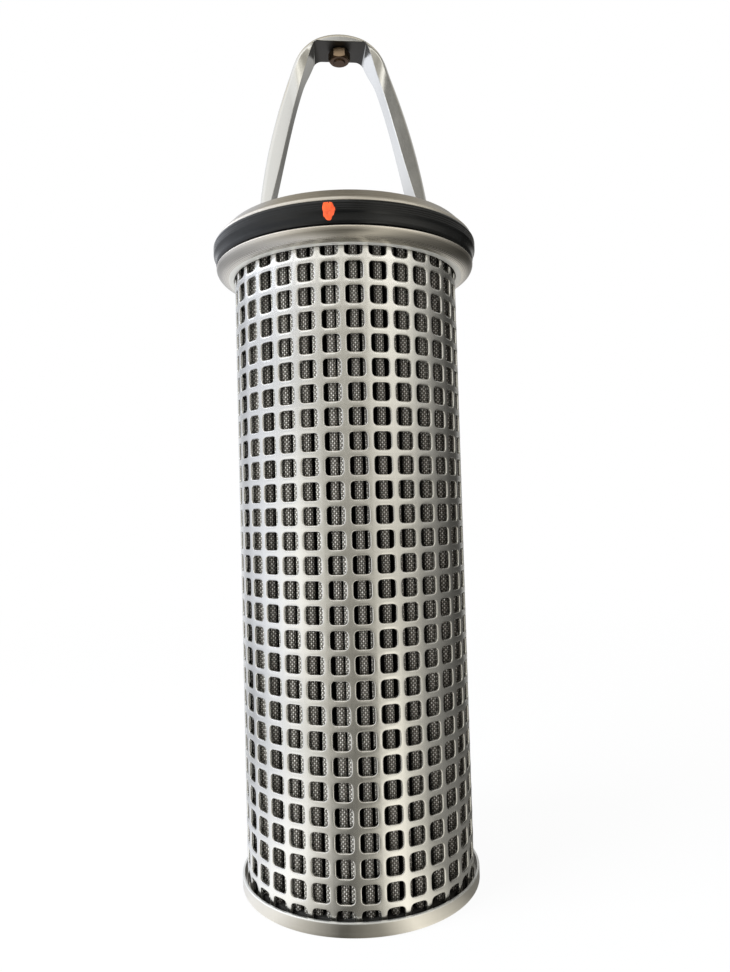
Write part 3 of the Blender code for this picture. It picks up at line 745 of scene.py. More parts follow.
class STRAINER_OT_jacket(bpy.types.Operator):
    """Rolls a perforated sheet to the jacket, with a weld bead up the back"""

    bl_idname = "strainer.jacket"
    bl_label = "Jacket"

    def execute(self, context):
        settings = context.scene.strainer_jacket
        radius = JACKET_HIGH.x
        pitch = FULL_TURN * radius / settings.columns
        cell = self.model_cell(settings, pitch)
        sheet = self.repeat_cell(cell, settings, pitch)
        self.roll(sheet, settings, radius)
        steel = satin_surface("jacket_steel", settings.steel, 0.25, (1.0, 1.0, 0.08))
        finish_piece(sheet, "jacket_sheet", steel, "satin_steel", "outer_jacket")
        # The rims' lighter steel paints the highlight along the holes' edges.
        rim = satin_surface("rim_steel", settings.rim_steel, 0.40, (1.0, 1.0, 1.0), metallic=0.85)
        sheet.data.materials.append(rim)
        self.add_seam(settings, radius)
        return {"FINISHED"}

    def model_cell(self, settings, pitch):
        """One hole with rounded corners and the web round it, flat on the floor."""
        deselect_all()
        bpy.ops.mesh.primitive_plane_add(size=settings.hole)
        cell = bpy.context.object
        edit(cell)
        bpy.ops.mesh.select_all(action="SELECT")
        bpy.ops.mesh.bevel(offset=settings.corner, segments=4, affect="VERTICES", profile=0.5)
        bpy.ops.mesh.delete(type="ONLY_FACE")
        bpy.ops.mesh.primitive_plane_add(size=1.0)
        bpy.ops.transform.resize(value=(pitch, settings.row_pitch, 1.0), center_override=(0, 0, 0))
        bpy.ops.mesh.delete(type="ONLY_FACE")
        edge_limit = settings.hole / 2 + WELD_DISTANCE
        select_in_edit(cell, lambda v: abs(v.co.x) > edge_limit or abs(v.co.y) > edge_limit)
        bpy.ops.mesh.subdivide(number_cuts=4)
        bpy.ops.mesh.select_all(action="SELECT")
        bpy.ops.mesh.bridge_edge_loops()
        leave_edit()
        return cell

    def repeat_cell(self, cell, settings, pitch):
        """The flat sheet: all columns and rows, cut at the foot and carried on up into the flange."""
        apply_modifier(
            cell, "ARRAY", count=settings.columns, use_relative_offset=False, use_constant_offset=True,
            constant_offset_displace=(pitch, 0, 0), use_merge_vertices=True, merge_threshold=WELD_DISTANCE,
        )
        apply_modifier(
            cell, "ARRAY", count=settings.rows, use_relative_offset=False, use_constant_offset=True,
            constant_offset_displace=(0, -settings.row_pitch, 0), use_merge_vertices=True,
            merge_threshold=WELD_DISTANCE,
        )
        half_columns = settings.columns // 2 - 1
        cell.location = (-half_columns * pitch, 0, settings.top_row)
        cell.rotation_euler = (math.pi / 2, 0, 0)
        apply_place(cell)
        edit(cell)
        bpy.ops.mesh.select_all(action="SELECT")
        bpy.ops.mesh.bisect(plane_co=(0, 0, JACKET_LOW.z), plane_no=(0, 0, 1), clear_inner=True)
        sheet_top = settings.top_row + settings.row_pitch / 2
        select_in_edit(cell, lambda v: abs(v.co.z - sheet_top) < WELD_DISTANCE)
        rise = JACKET_HIGH.z - sheet_top
        bpy.ops.mesh.extrude_edges_move(TRANSFORM_OT_translate={"value": (0, 0, rise)})
        leave_edit()
        return cell

    def roll(self, sheet, settings, radius):
        """Bends the sheet round, closes it at the back, and gives it its wall and its rounded rims."""
        apply_modifier(sheet, "SIMPLE_DEFORM", deform_method="BEND", deform_axis="Z", angle=FULL_TURN)
        sheet.location = (0, -radius, 0)
        apply_place(sheet)
        close_and_orient(sheet)
        apply_modifier(sheet, "SOLIDIFY", thickness=settings.wall, offset=-1.0)
        edit(sheet, "EDGE")
        outer = radius - 2 * WELD_DISTANCE
        lowest = JACKET_LOW.z + WELD_DISTANCE
        highest = JACKET_HIGH.z - WELD_DISTANCE

        def on_face(vert):
            return math.hypot(vert.co.x, vert.co.y) > outer and lowest < vert.co.z < highest

        def is_rim(edge):
            steep = edge.calc_face_angle(0.0) > math.radians(60.0)
            return steep and all(on_face(vert) for vert in edge.verts)

        select_in_edit(sheet, is_rim, "edges")
        # The rims take the second material, the steel with the painted highlight.
        bpy.ops.mesh.bevel(offset=settings.rim, segments=2, affect="EDGES", clamp_overlap=False, material=1)
        leave_edit()
        pick_only(sheet)
        bpy.ops.object.shade_smooth()
        apply_modifier(sheet, "WEIGHTED_NORMAL", mode="FACE_AREA", weight=50, keep_sharp=True)

    def add_seam(self, settings, radius):
        """A weld bead up the web behind, where the sheet's ends meet."""
        deselect_all()
        height = FLANGE_LOW.z - CUP_HIGH.z
        steps = 180
        bpy.ops.mesh.primitive_grid_add(x_subdivisions=6, y_subdivisions=steps, size=1.0)
        bead = bpy.context.object
        seam_angle = math.pi - math.pi / settings.columns
        for vert in bead.data.vertices:
            share = vert.co.x * 2
            level = CUP_HIGH.z + (vert.co.y + 0.5) * height
            wave = math.cos(level * FULL_TURN / SEAM_PITCH + share * share * SEAM_LAG)
            ripple = 1.0 - SEAM_RIPPLE + SEAM_RIPPLE * wave
            stand = settings.seam_stand * (1 - share * share) * ripple
            angle = -seam_angle + share * settings.seam_width / 2 / radius
            reach = radius - SEAM_SINK + stand + SEAM_SINK * (1 - abs(share))
            vert.co = (reach * math.sin(angle), -reach * math.cos(angle), level)
        apply_modifier(bead, "SOLIDIFY", thickness=SEAM_THICKNESS, offset=-1.0)
        close_and_orient(bead)
        smooth(bead, math.radians(60.0))
        steel = satin_surface("seam_steel", darker(settings.steel, 0.85), 0.36, (1.0, 1.0, 1.0))
        finish_piece(bead, "jacket_seam", steel, "satin_steel")


class STRAINER_OT_mesh_pack(bpy.types.Operator):
    """Folds the support mesh and the filter mesh into their pleats, and finishes the resin at their ends"""

    bl_idname = "strainer.mesh_pack"
    bl_label = "Mesh pack"

    def execute(self, context):
        settings = context.scene.strainer_mesh_pack
        coarse = woven_surface("support_wire", settings, settings.wire_pitch, MESH_HIGH.x)
        self.fold(
            settings, "support_pleats", MESH_HIGH.x, MESH_LOW.z, MESH_HIGH.z, COARSE_THICKNESS,
            coarse, "coarse_mesh", "support_mesh",
        )
        fine = woven_surface("filter_wire", settings, settings.fine_pitch, MESH_HIGH.x)
        self.fold(
            settings, "filter_pleats", FILTER_HIGH.x, FILTER_LOW.z, FILTER_HIGH.z, FINE_THICKNESS,
            fine, "fine_mesh", "filter_mesh",
        )
        resin = plain_surface("potting_resin", RESIN_COLOR, 0.0, 0.55, 60.0, 0.3)
        for node in ("upper_potting", "lower_potting"):
            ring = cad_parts[node]
            ring.data.materials.clear()
            ring.data.materials.append(resin)
        return {"FINISHED"}

    def pleat_profile(self, settings, ridge_radius):
        """One pleat as (angle, radius) points: round head, straight flank, tight valley, next flank."""
        half_pitch = math.pi / settings.pleats
        head_centre = ridge_radius - settings.ridge
        valley_centre = ridge_radius - settings.depth + settings.valley
        head, valley = [], []
        for step in range(-4, 5):
            turn = HEAD_STEP * step
            head.append((settings.ridge * math.sin(turn), head_centre + settings.ridge * math.cos(turn)))
        half_width = half_pitch * valley_centre
        for step in range(-2, 3):
            turn = VALLEY_STEP * step
            across = half_width + settings.valley * math.sin(turn)
            valley.append((across, valley_centre - settings.valley * math.cos(turn)))
        points = []
        for across, out in head:
            points.append((math.atan2(across, out), math.hypot(across, out)))
        for across, out in valley:
            points.append((across / valley_centre, out))
        return points

    def fold(self, settings, name, ridge_radius, bottom, top, thickness, material, slot, node):
        """A flat strip extruded to the pack's height whose columns are then laid along the pleats."""
        profile = self.pleat_profile(settings, ridge_radius)
        count = len(profile) * settings.pleats
        deselect_all()
        bpy.ops.mesh.primitive_grid_add(x_subdivisions=count, y_subdivisions=1, size=1.0)
        sheet = bpy.context.object
        corners = []
        for pleat in range(settings.pleats):
            for angle, radius in profile:
                sway = SWAY * math.sin(SWAY_STEP * pleat)
                wander = settings.unevenness * math.sin(WANDER_STEP * pleat + sway)
                turn = angle + (pleat + wander) * FULL_TURN / settings.pleats
                corners.append((radius * math.sin(turn), -radius * math.cos(turn)))
        corners.append(corners[0])
        run = [0.0]
        for first, second in zip(corners, corners[1:]):
            run.append(run[-1] + math.dist(first, second))
        levels = (bottom, top)
        uv = sheet.data.uv_layers.active.data
        for loop in sheet.data.loops:
            row, column = divmod(loop.vertex_index, count + 1)
            uv[loop.index].uv = (run[column], levels[row])
        for vert in sheet.data.vertices:
            row, column = divmod(vert.index, count + 1)
            vert.co = (*corners[column], levels[row])
        close_and_orient(sheet)
        apply_modifier(sheet, "SOLIDIFY", thickness=thickness, offset=-1.0)
        smooth(sheet, math.radians(50.0))
        finish_piece(sheet, name, material, slot, node)


class STRAINER_OT_flange(bpy.types.Operator):
    """Turns the flange ring: chamfered rim, seal groove, rounded lower lip and stepped bore"""

    bl_idname = "strainer.flange"
    bl_label = "Flange"

    def execute(self, context):
        s = context.scene.strainer_flange
        rim = FLANGE_HIGH.x
        top, low = FLANGE_HIGH.z, FLANGE_LOW.z
        groove = rim - s.groove_depth
        recess_outer = JACKET_HIGH.x + FIT_GAP
        profile = [
            (s.bore, top),
            (rim - s.chamfer_across, top),
            (rim, top - s.chamfer_down),
            (rim, s.groove_high),
            (groove, s.groove_high),
            (groove, s.groove_low),
            (rim, s.groove_low),
        ]
        lip = rim - recess_outer
        profile += arc((recess_outer, low - s.lip_below + s.lip_up), lip, s.lip_up, 0.0, -math.pi / 2, 14)
        profile += [
            (recess_outer, low + s.recess),
            (s.bore + s.sleeve, low + s.recess),
            (s.bore + s.sleeve, low),
            (s.bore, low),
        ]
        ring = turn_profile(profile, RING_STEPS)
        break_edges(ring, s.edge, math.radians(30.0))
        smooth_round_edges(ring, math.radians(40.0))
        # Painted light and shade by height: lighter at the foot and the top of the lip and up the rim above
        # the seal, darker across the lip's middle.
        painted_light_by_height = (
            (-s.lip_below, 1.9), (0.0002, 1.5), (0.0012, 1.10), (0.0026, 0.95), (0.0036, 1.25),
            (0.0044, 1.80), (0.0052, 1.70), (0.0150, 1.45), (0.0172, 1.45), (0.0182, 1.0),
        )
        steel = turned_surface("flange_steel", s.steel, 0.30, low, painted_light_by_height)
        finish_piece(ring, "flange_ring", steel, "turned_steel", "top_flange")
        # Painted highlight: the faces at the very bottom of the lip get a lighter, half-metallic steel for
        # the light line along that edge.
        painted_highlight = satin_surface("worn_lip_steel", s.highlight_steel, 0.45, (1.0, 1.0, 1.0), metallic=0.5)
        highlight_top = low - s.lip_below + s.highlight_height
        add_finish(ring, painted_highlight, lambda face: face.normal.z < -0.8 and face.calc_center_median().z < highlight_top)
        return {"FINISHED"}


def seal_face(s):
    """The seal's outer side from top to bottom, as (radius, height) points."""
    low, top = SEAL_LOW.z - s.drop + s.foot_lift, SEAL_HIGH.z - s.drop
    outer = SEAL_HIGH.x
    lower = FLANGE_HIGH.x + s.lower_out
    middle = low + (top - low) * SEAL_WAIST_SHARE
    corner = (outer - SEAL_TOP_ROUND, top - s.bead * 0.75)
    face = arc(corner, SEAL_TOP_ROUND, s.bead * 0.75, math.pi / 2, 0.0, 5)
    for share in s.line_shares:
        level = middle + s.bead + (top - s.bead - middle - s.bead) * share
        half = s.line_height / 2
        face += [(outer, level + half), (outer - s.line_depth, level), (outer, level - half)]
    face += [(outer, middle + s.bead), (outer - SEAL_SHOULDER, middle + s.bead * 0.55)]
    face += [(outer - s.waist, middle + s.bead * 0.2), (outer - s.waist, middle)]
    face += [(lower, middle - s.bead * 0.5), (lower, low + s.foot_round)]
    foot = (lower - s.foot_round, low + s.foot_round)
    face += arc(foot, s.foot_round, s.foot_round, 0.0, -math.pi / 2, 6)[1:]
    return face


def radius_at(face, level):
    """The radius of a side given as (radius, height) points, top first, at a height."""
    for (first_radius, first_height), (radius, height) in zip(face, face[1:]):
        if first_height >= level >= height and first_height > height:
            share = (first_height - level) / (first_height - height)
            return first_radius + (radius - first_radius) * share
    return face[-1][0]


class STRAINER_OT_seal(bpy.types.Operator):
    """Moulds the rubber seal with its two beads"""

    bl_idname = "strainer.seal"
    bl_label = "Seal"

    def execute(self, context):
        s = context.scene.strainer_seal
        groove = FLANGE_HIGH.x - context.scene.strainer_flange.groove_depth + FIT_GAP
        profile = [(groove, SEAL_HIGH.z - s.drop)]
        profile += seal_face(s)
        profile += [(groove, SEAL_LOW.z - s.drop + s.foot_lift)]
        ring = turn_profile(profile, RING_STEPS)
        smooth_round_edges(ring, math.radians(50.0))
        rubber = plain_surface("seal_rubber", s.rubber, 0.0, 0.15, 55.0, 0.1, 0.35)
        finish_piece(ring, "seal_ring", rubber, "black_rubber", "flange_seal")
        return {"FINISHED"}


class STRAINER_OT_cup(bpy.types.Operator):
    """Presses the cup at the foot, with its thin lip and a faint crease"""

    bl_idname = "strainer.cup"
    bl_label = "Cup"

    def execute(self, context):
        s = context.scene.strainer_cup
        outer = CUP_HIGH.x
        top = CUP_HIGH.z - s.lip_drop
        inner = outer - s.wall
        profile = [(inner - CUP_FLOOR_BAND, s.floor), (inner, s.floor), (inner, top)]
        profile += [(outer - CUP_LIP_FACE, top), (outer, top - CUP_LIP_TAPER)]
        profile += [(outer, s.crease_height + CREASE_ABOVE)]
        profile += [(outer - s.crease_depth, s.crease_height), (outer, s.crease_height - CREASE_BELOW)]
        profile += arc((outer - s.corner, s.corner), s.corner, s.corner, 0.0, -math.pi / 2, 6)
        profile += [(outer - s.corner * 2, 0.0)]
        cup = turn_profile(profile, RING_STEPS, capped=True)
        break_edges(cup, CUP_EDGE, math.radians(50.0))
        smooth_round_edges(cup, math.radians(40.0))
        steel = satin_surface("cup_steel", s.steel, 0.34, (1.0, 1.0, 0.06), 700.0, 55.0)
        finish_piece(cup, "foot_cup", steel, "satin_steel", "bottom_cup")
        # The lighter steel on the lip's top is a painted highlight.
        lip = satin_surface("lip_steel", s.lip_steel, 0.40, (1.0, 1.0, 1.0), metallic=0.8)
        add_finish(cup, lip, lambda face: face.calc_center_median().z > top - CUP_LIP_HIGHLIGHT)
        return {"FINISHED"}


class STRAINER_OT_bail(bpy.types.Operator):
    """Forges the bail from its front outline and its width at each height, and welds its feet"""

    bl_idname = "strainer.bail"
    bl_label = "Bail"

    def execute(self, context):
        s = context.scene.strainer_bail
        outer = self.mirrored(self.outer_half(s))
        inner = self.mirrored(self.inner_half(s, s.seat_corner))
        back = self.mirrored(self.inner_half(s, s.back_corner))
        bail = self.solid(s, outer, inner, back)
        steel = satin_surface("bail_metal", s.steel, 0.20, (1.0, 1.0, 0.25), 420.0, 70.0, 1.0, 0.06)
        finish_piece(bail, "bail_loop", steel, "bail_steel", "bail")
        # The near-black steel on the seat's underside is painted shade.
        scale = satin_surface("bail_scale", s.scale, 0.5, (1.0, 1.0, 1.0))
        seat = BAIL_HIGH.z - s.crown - s.seat_corner
        add_finish(bail, scale, lambda face: face.normal.z < -0.5 and face.calc_center_median().z > seat)
        for side in (-1, 1):
            self.weld_foot(s, side)
        return {"FINISHED"}

    def half_width(self, s, height):
        """Half of the bail's width from front to back at a height."""
        top = BAIL_HIGH.z
        head, waist = s.head_width / 2, s.waist_width / 2
        foot = BAIL_HIGH.y
        head_low, waist_level = top - s.head_depth, top - s.waist_below
        if height > head_low:
            return head
        if height > waist_level:
            share = (head_low - height) / (head_low - waist_level)
            return head + (waist - head) * (1 - math.cos(math.pi * share)) / 2
        share = (waist_level - height) / (waist_level - (BAIL_LOW.z - s.crown))
        return min(foot, waist + (BAIL_FLARE - waist) * share * share)

    def bowed(self, start, end, bow, steps, skew=1.0):
        """Points from start to end that stand up to bow to the right; skew moves the bow towards the end."""
        run, rise = end[0] - start[0], end[1] - start[1]
        size = math.hypot(run, rise)
        points = []
        for step in range(steps + 1):
            share = step / steps
            eased = share**skew
            lift = 4 * bow * eased * (1 - eased)
            across = start[0] + run * share + rise / size * lift
            up = start[1] + rise * share - run / size * lift
            points.append((across, up))
        return points

    def outer_half(self, s):
        """The right half of the outer line, from the foot to the top."""
        centre = (0.0, BAIL_HIGH.z - s.crown_radius)
        start = math.pi / 2 - s.shoulder_angle
        crown = arc(centre, s.crown_radius, s.crown_radius, start, math.pi / 2, 22)
        return self.bowed((BAIL_HIGH.x, BAIL_LOW.z), crown[0], s.outer_bow, 24) + crown[1:]

    def inner_half(self, s, seat_corner):
        """The right half of the inner line, from the foot up to the seat's middle."""
        seat = BAIL_HIGH.z - s.crown
        foot = (BAIL_HIGH.x - s.foot, BAIL_LOW.z)
        leg = math.atan2(seat - foot[1], foot[0] - s.seat_half)
        centre = (s.seat_half - seat_corner, seat - seat_corner)
        corner = arc(centre, seat_corner, seat_corner, math.pi / 2 - leg, math.pi / 2, 6)
        points = self.bowed(foot, corner[0], s.inner_bow, 34, s.inner_skew) + corner[1:]
        for step in range(1, 7):
            points.append((centre[0] * (1 - step / 6), seat))
        return points

    def mirrored(self, half):
        return [(-across, up) for across, up in half] + half[-2::-1]

    def solid(self, s, outer, inner, back):
        """A strip between the lines, as wide as the bail is at each height; back is the inner line behind."""
        count = len(outer) - 1
        deselect_all()
        bpy.ops.mesh.primitive_grid_add(x_subdivisions=count, y_subdivisions=1, size=1.0)
        bail = bpy.context.object
        lines = (inner, outer)
        for vert in bail.data.vertices:
            row, column = divmod(vert.index, count + 1)
            across, up = lines[row][column]
            vert.co = (across, -self.half_width(s, up), up)
        edit(bail, "FACE")
        bpy.ops.mesh.select_all(action="SELECT")
        bpy.ops.mesh.extrude_region_move()
        leave_edit()
        for vert in bail.data.vertices:
            if vert.select:
                place = (vert.co.x, vert.co.z)
                half_width = self.half_width(s, vert.co.z)
                for front, behind in zip(inner, back):
                    if math.dist(place, front) < WELD_DISTANCE:
                        place = behind
                vert.co = (place[0], half_width, place[1])
        close_and_orient(bail)
        self.round_edges(bail, s, outer, inner, back)
        smooth_round_edges(bail, math.radians(50.0))
        return bail

    def round_edges(self, bail, s, outer, inner, back):
        """Rounds the outer edges as far as the bail is thick there, and breaks the inner ones."""
        weights = bail.data.attributes.new("bevel_weight_edge", "FLOAT", "EDGE")
        for edge in bail.data.edges:
            ends = [bail.data.vertices[index].co for index in edge.vertices]
            if ends[0].y * ends[1].y < 0:
                continue
            if all(self.lies_on(end, outer) for end in ends):
                middle = (ends[0] + ends[1]) / 2
                thickness = min(math.dist((middle.x, middle.z), point) for point in inner)
                width = min(s.outer_edge, thickness * s.outer_share)
            elif all(self.lies_on(end, inner + back) for end in ends):
                width = s.edge
            else:
                continue
            weights.data[edge.index].value = width / s.outer_edge
        apply_modifier(
            bail, "BEVEL", width=s.outer_edge, segments=5, limit_method="WEIGHT", use_clamp_overlap=False
        )

    def lies_on(self, place, line):
        return any(math.dist((place.x, place.z), point) < 2 * WELD_DISTANCE for point in line)

    def weld_foot(self, s, side):
        """A bead of weld round a foot, where it stands on the flange."""
        half_depth = self.half_width(s, BAIL_LOW.z) + s.weld * WELD_OVERLAP
        inner = BAIL_HIGH.x - s.foot - s.weld * WELD_OVERLAP
        outer = BAIL_HIGH.x + s.weld * WELD_OVERLAP
        centre = side * (inner + outer) / 2
        half_across = (outer - inner) / 2
        deselect_all()
        bpy.ops.mesh.primitive_torus_add(
            major_segments=120, minor_segments=10, major_radius=1.0, minor_radius=s.weld
        )
        bead = bpy.context.object
        for vert in bead.data.vertices:
            angle = math.atan2(vert.co.y, vert.co.x)
            out = math.hypot(vert.co.x, vert.co.y) - 1.0
            cosine, sine = math.cos(angle), math.sin(angle)
            rounded = (abs(cosine) ** WELD_SQUARE + abs(sine) ** WELD_SQUARE) ** (-1 / WELD_SQUARE)
            ripple = 1.0 + WELD_RIPPLE * math.sin(angle * WELD_RIPPLES)
            across = (half_across + out * ripple) * cosine * rounded
            along = (half_depth + out * ripple) * sine * rounded
            vert.co = (centre + across, along, BAIL_LOW.z + max(-WELD_SINK, vert.co.z * ripple))
        close_and_orient(bead)
        smooth(bead, math.radians(60.0))
        steel = satin_surface("weld_metal", darker(s.steel, 0.8), 0.38, (1.0, 1.0, 1.0), 900.0, 120.0)
        finish_piece(bead, "foot_weld_right" if side > 0 else "foot_weld_left", steel, "bail_steel")


class STRAINER_OT_nut(bpy.types.Operator):
    """Models the nut under the crown and the threaded end of its stud"""

    bl_idname = "strainer.nut"
    bl_label = "Nut and stud"

    def execute(self, context):
        s = context.scene.strainer_nut
        bronze = plain_surface("nut_bronze", s.bronze, 1.0, 0.34, 160.0, 0.3)
        middle = (NUT_LOW.z + NUT_HIGH.z) / 2
        height = NUT_HIGH.z - NUT_LOW.z
        corner_radius = s.across_flats / 2 / math.cos(math.pi / 6)
        deselect_all()
        bpy.ops.mesh.primitive_cylinder_add(
            vertices=6, radius=corner_radius, depth=height, location=(0, 0, middle), rotation=(0, 0, s.turn)
        )
        nut = bpy.context.object
        apply_place(nut)
        face_radius = s.across_flats / 2 * NUT_FACE_SHARE
        shape = [(face_radius, NUT_HIGH.z), (corner_radius + NUT_SPARE, NUT_HIGH.z - s.chamfer - NUT_SPARE)]
        shape += [(corner_radius + NUT_SPARE, NUT_LOW.z + s.chamfer + NUT_SPARE), (face_radius, NUT_LOW.z)]
        rounded = turn_profile(shape, 60, capped=True)
        pick_only(nut)
        self.cut(nut, rounded, "INTERSECT")
        bore = STUD_HIGH.x + THREAD_GAP
        shape = [(bore, NUT_HIGH.z + DRILL_OVER), (bore, NUT_LOW.z - DRILL_OVER)]
        drill = turn_profile(shape, 40, capped=True)
        self.cut(nut, drill, "DIFFERENCE")
        break_edges(nut, NUT_EDGE, math.radians(25.0))
        close_and_orient(nut)
        smooth_round_edges(nut, math.radians(30.0))
        finish_piece(nut, "hex_nut", bronze, "bronze", "crown_nut")
        # The dark colour on the downward faces is painted shade.
        stain = plain_surface("nut_stain", s.stain, 1.0, 0.38, 160.0, 0.3)
        for thing in (nut, self.add_stud(s, bronze)):
            add_finish(thing, stain, lambda face: face.normal.z < -0.6)
        return {"FINISHED"}

    def cut(self, thing, cutter, operation):
        apply_modifier(thing, "BOOLEAN", operation=operation, solver="EXACT", object=cutter)
        bpy.data.objects.remove(cutter, do_unlink=True)

    def add_stud(self, s, bronze):
        """The stud, threaded from the nut's foot to its own end."""
        radius = STUD_HIGH.x
        profile = [(radius, STUD_HIGH.z), (radius, NUT_LOW.z + 2 * s.thread_pitch)]
        level = NUT_LOW.z + 2 * s.thread_pitch
        while level - s.thread_pitch > STUD_LOW.z + s.thread:
            profile.append((radius - s.thread, level - s.thread_pitch / 2))
            level -= s.thread_pitch
            profile.append((radius, level))
        profile.append((radius - s.thread * THREAD_END, STUD_LOW.z))
        stud = turn_profile(profile, 40, capped=True)
        smooth(stud, math.radians(40.0))
        return finish_piece(stud, "threaded_stud", bronze, "bronze", "crown_stud")


class STRAINER_OT_paint_dab(bpy.types.Operator):
    """Puts a plain dab of orange paint on the seal"""

    bl_idname = "strainer.paint_dab"
    bl_label = "Paint dab"

    def execute(self, context):
        s = context.scene.strainer_paint
        deselect_all()
        bpy.ops.mesh.primitive_circle_add(vertices=48, radius=1.0, fill_type="TRIFAN")
        dab = bpy.context.object
        edit(dab)
        bpy.ops.mesh.select_all(action="SELECT")
        bpy.ops.mesh.subdivide(number_cuts=3)
        leave_edit()
        seal = context.scene.strainer_seal
        middle = SEAL_LOW.z - seal.drop + (SEAL_HIGH.z - SEAL_LOW.z) * s.level
        face = seal_face(seal)
        for vert in dab.data.vertices:
            turn = math.atan2(vert.co.y, vert.co.x)
            edge = 1.0
            for swing, waves, shift in DAB_WAVES:
                edge += swing * math.sin(waves * turn + shift)
            across = vert.co.x * edge * s.width / 2 / SEAL_HIGH.x
            level = middle + vert.co.y * edge * s.height / 2
            bearing = s.bearing + across
            share = math.hypot(vert.co.x, vert.co.y)
            reach = radius_at(face, level) + s.stand * (1.0 - share**6)
            vert.co = (reach * math.sin(bearing), -reach * math.cos(bearing), level)
        close_and_orient(dab)
        smooth(dab)
        paint = plain_surface("dab_paint", s.paint, 0.0, 0.5, 300.0, 0.2)
        finish_piece(dab, "paint_dab", paint, "black_rubber")
        return {"FINISHED"}


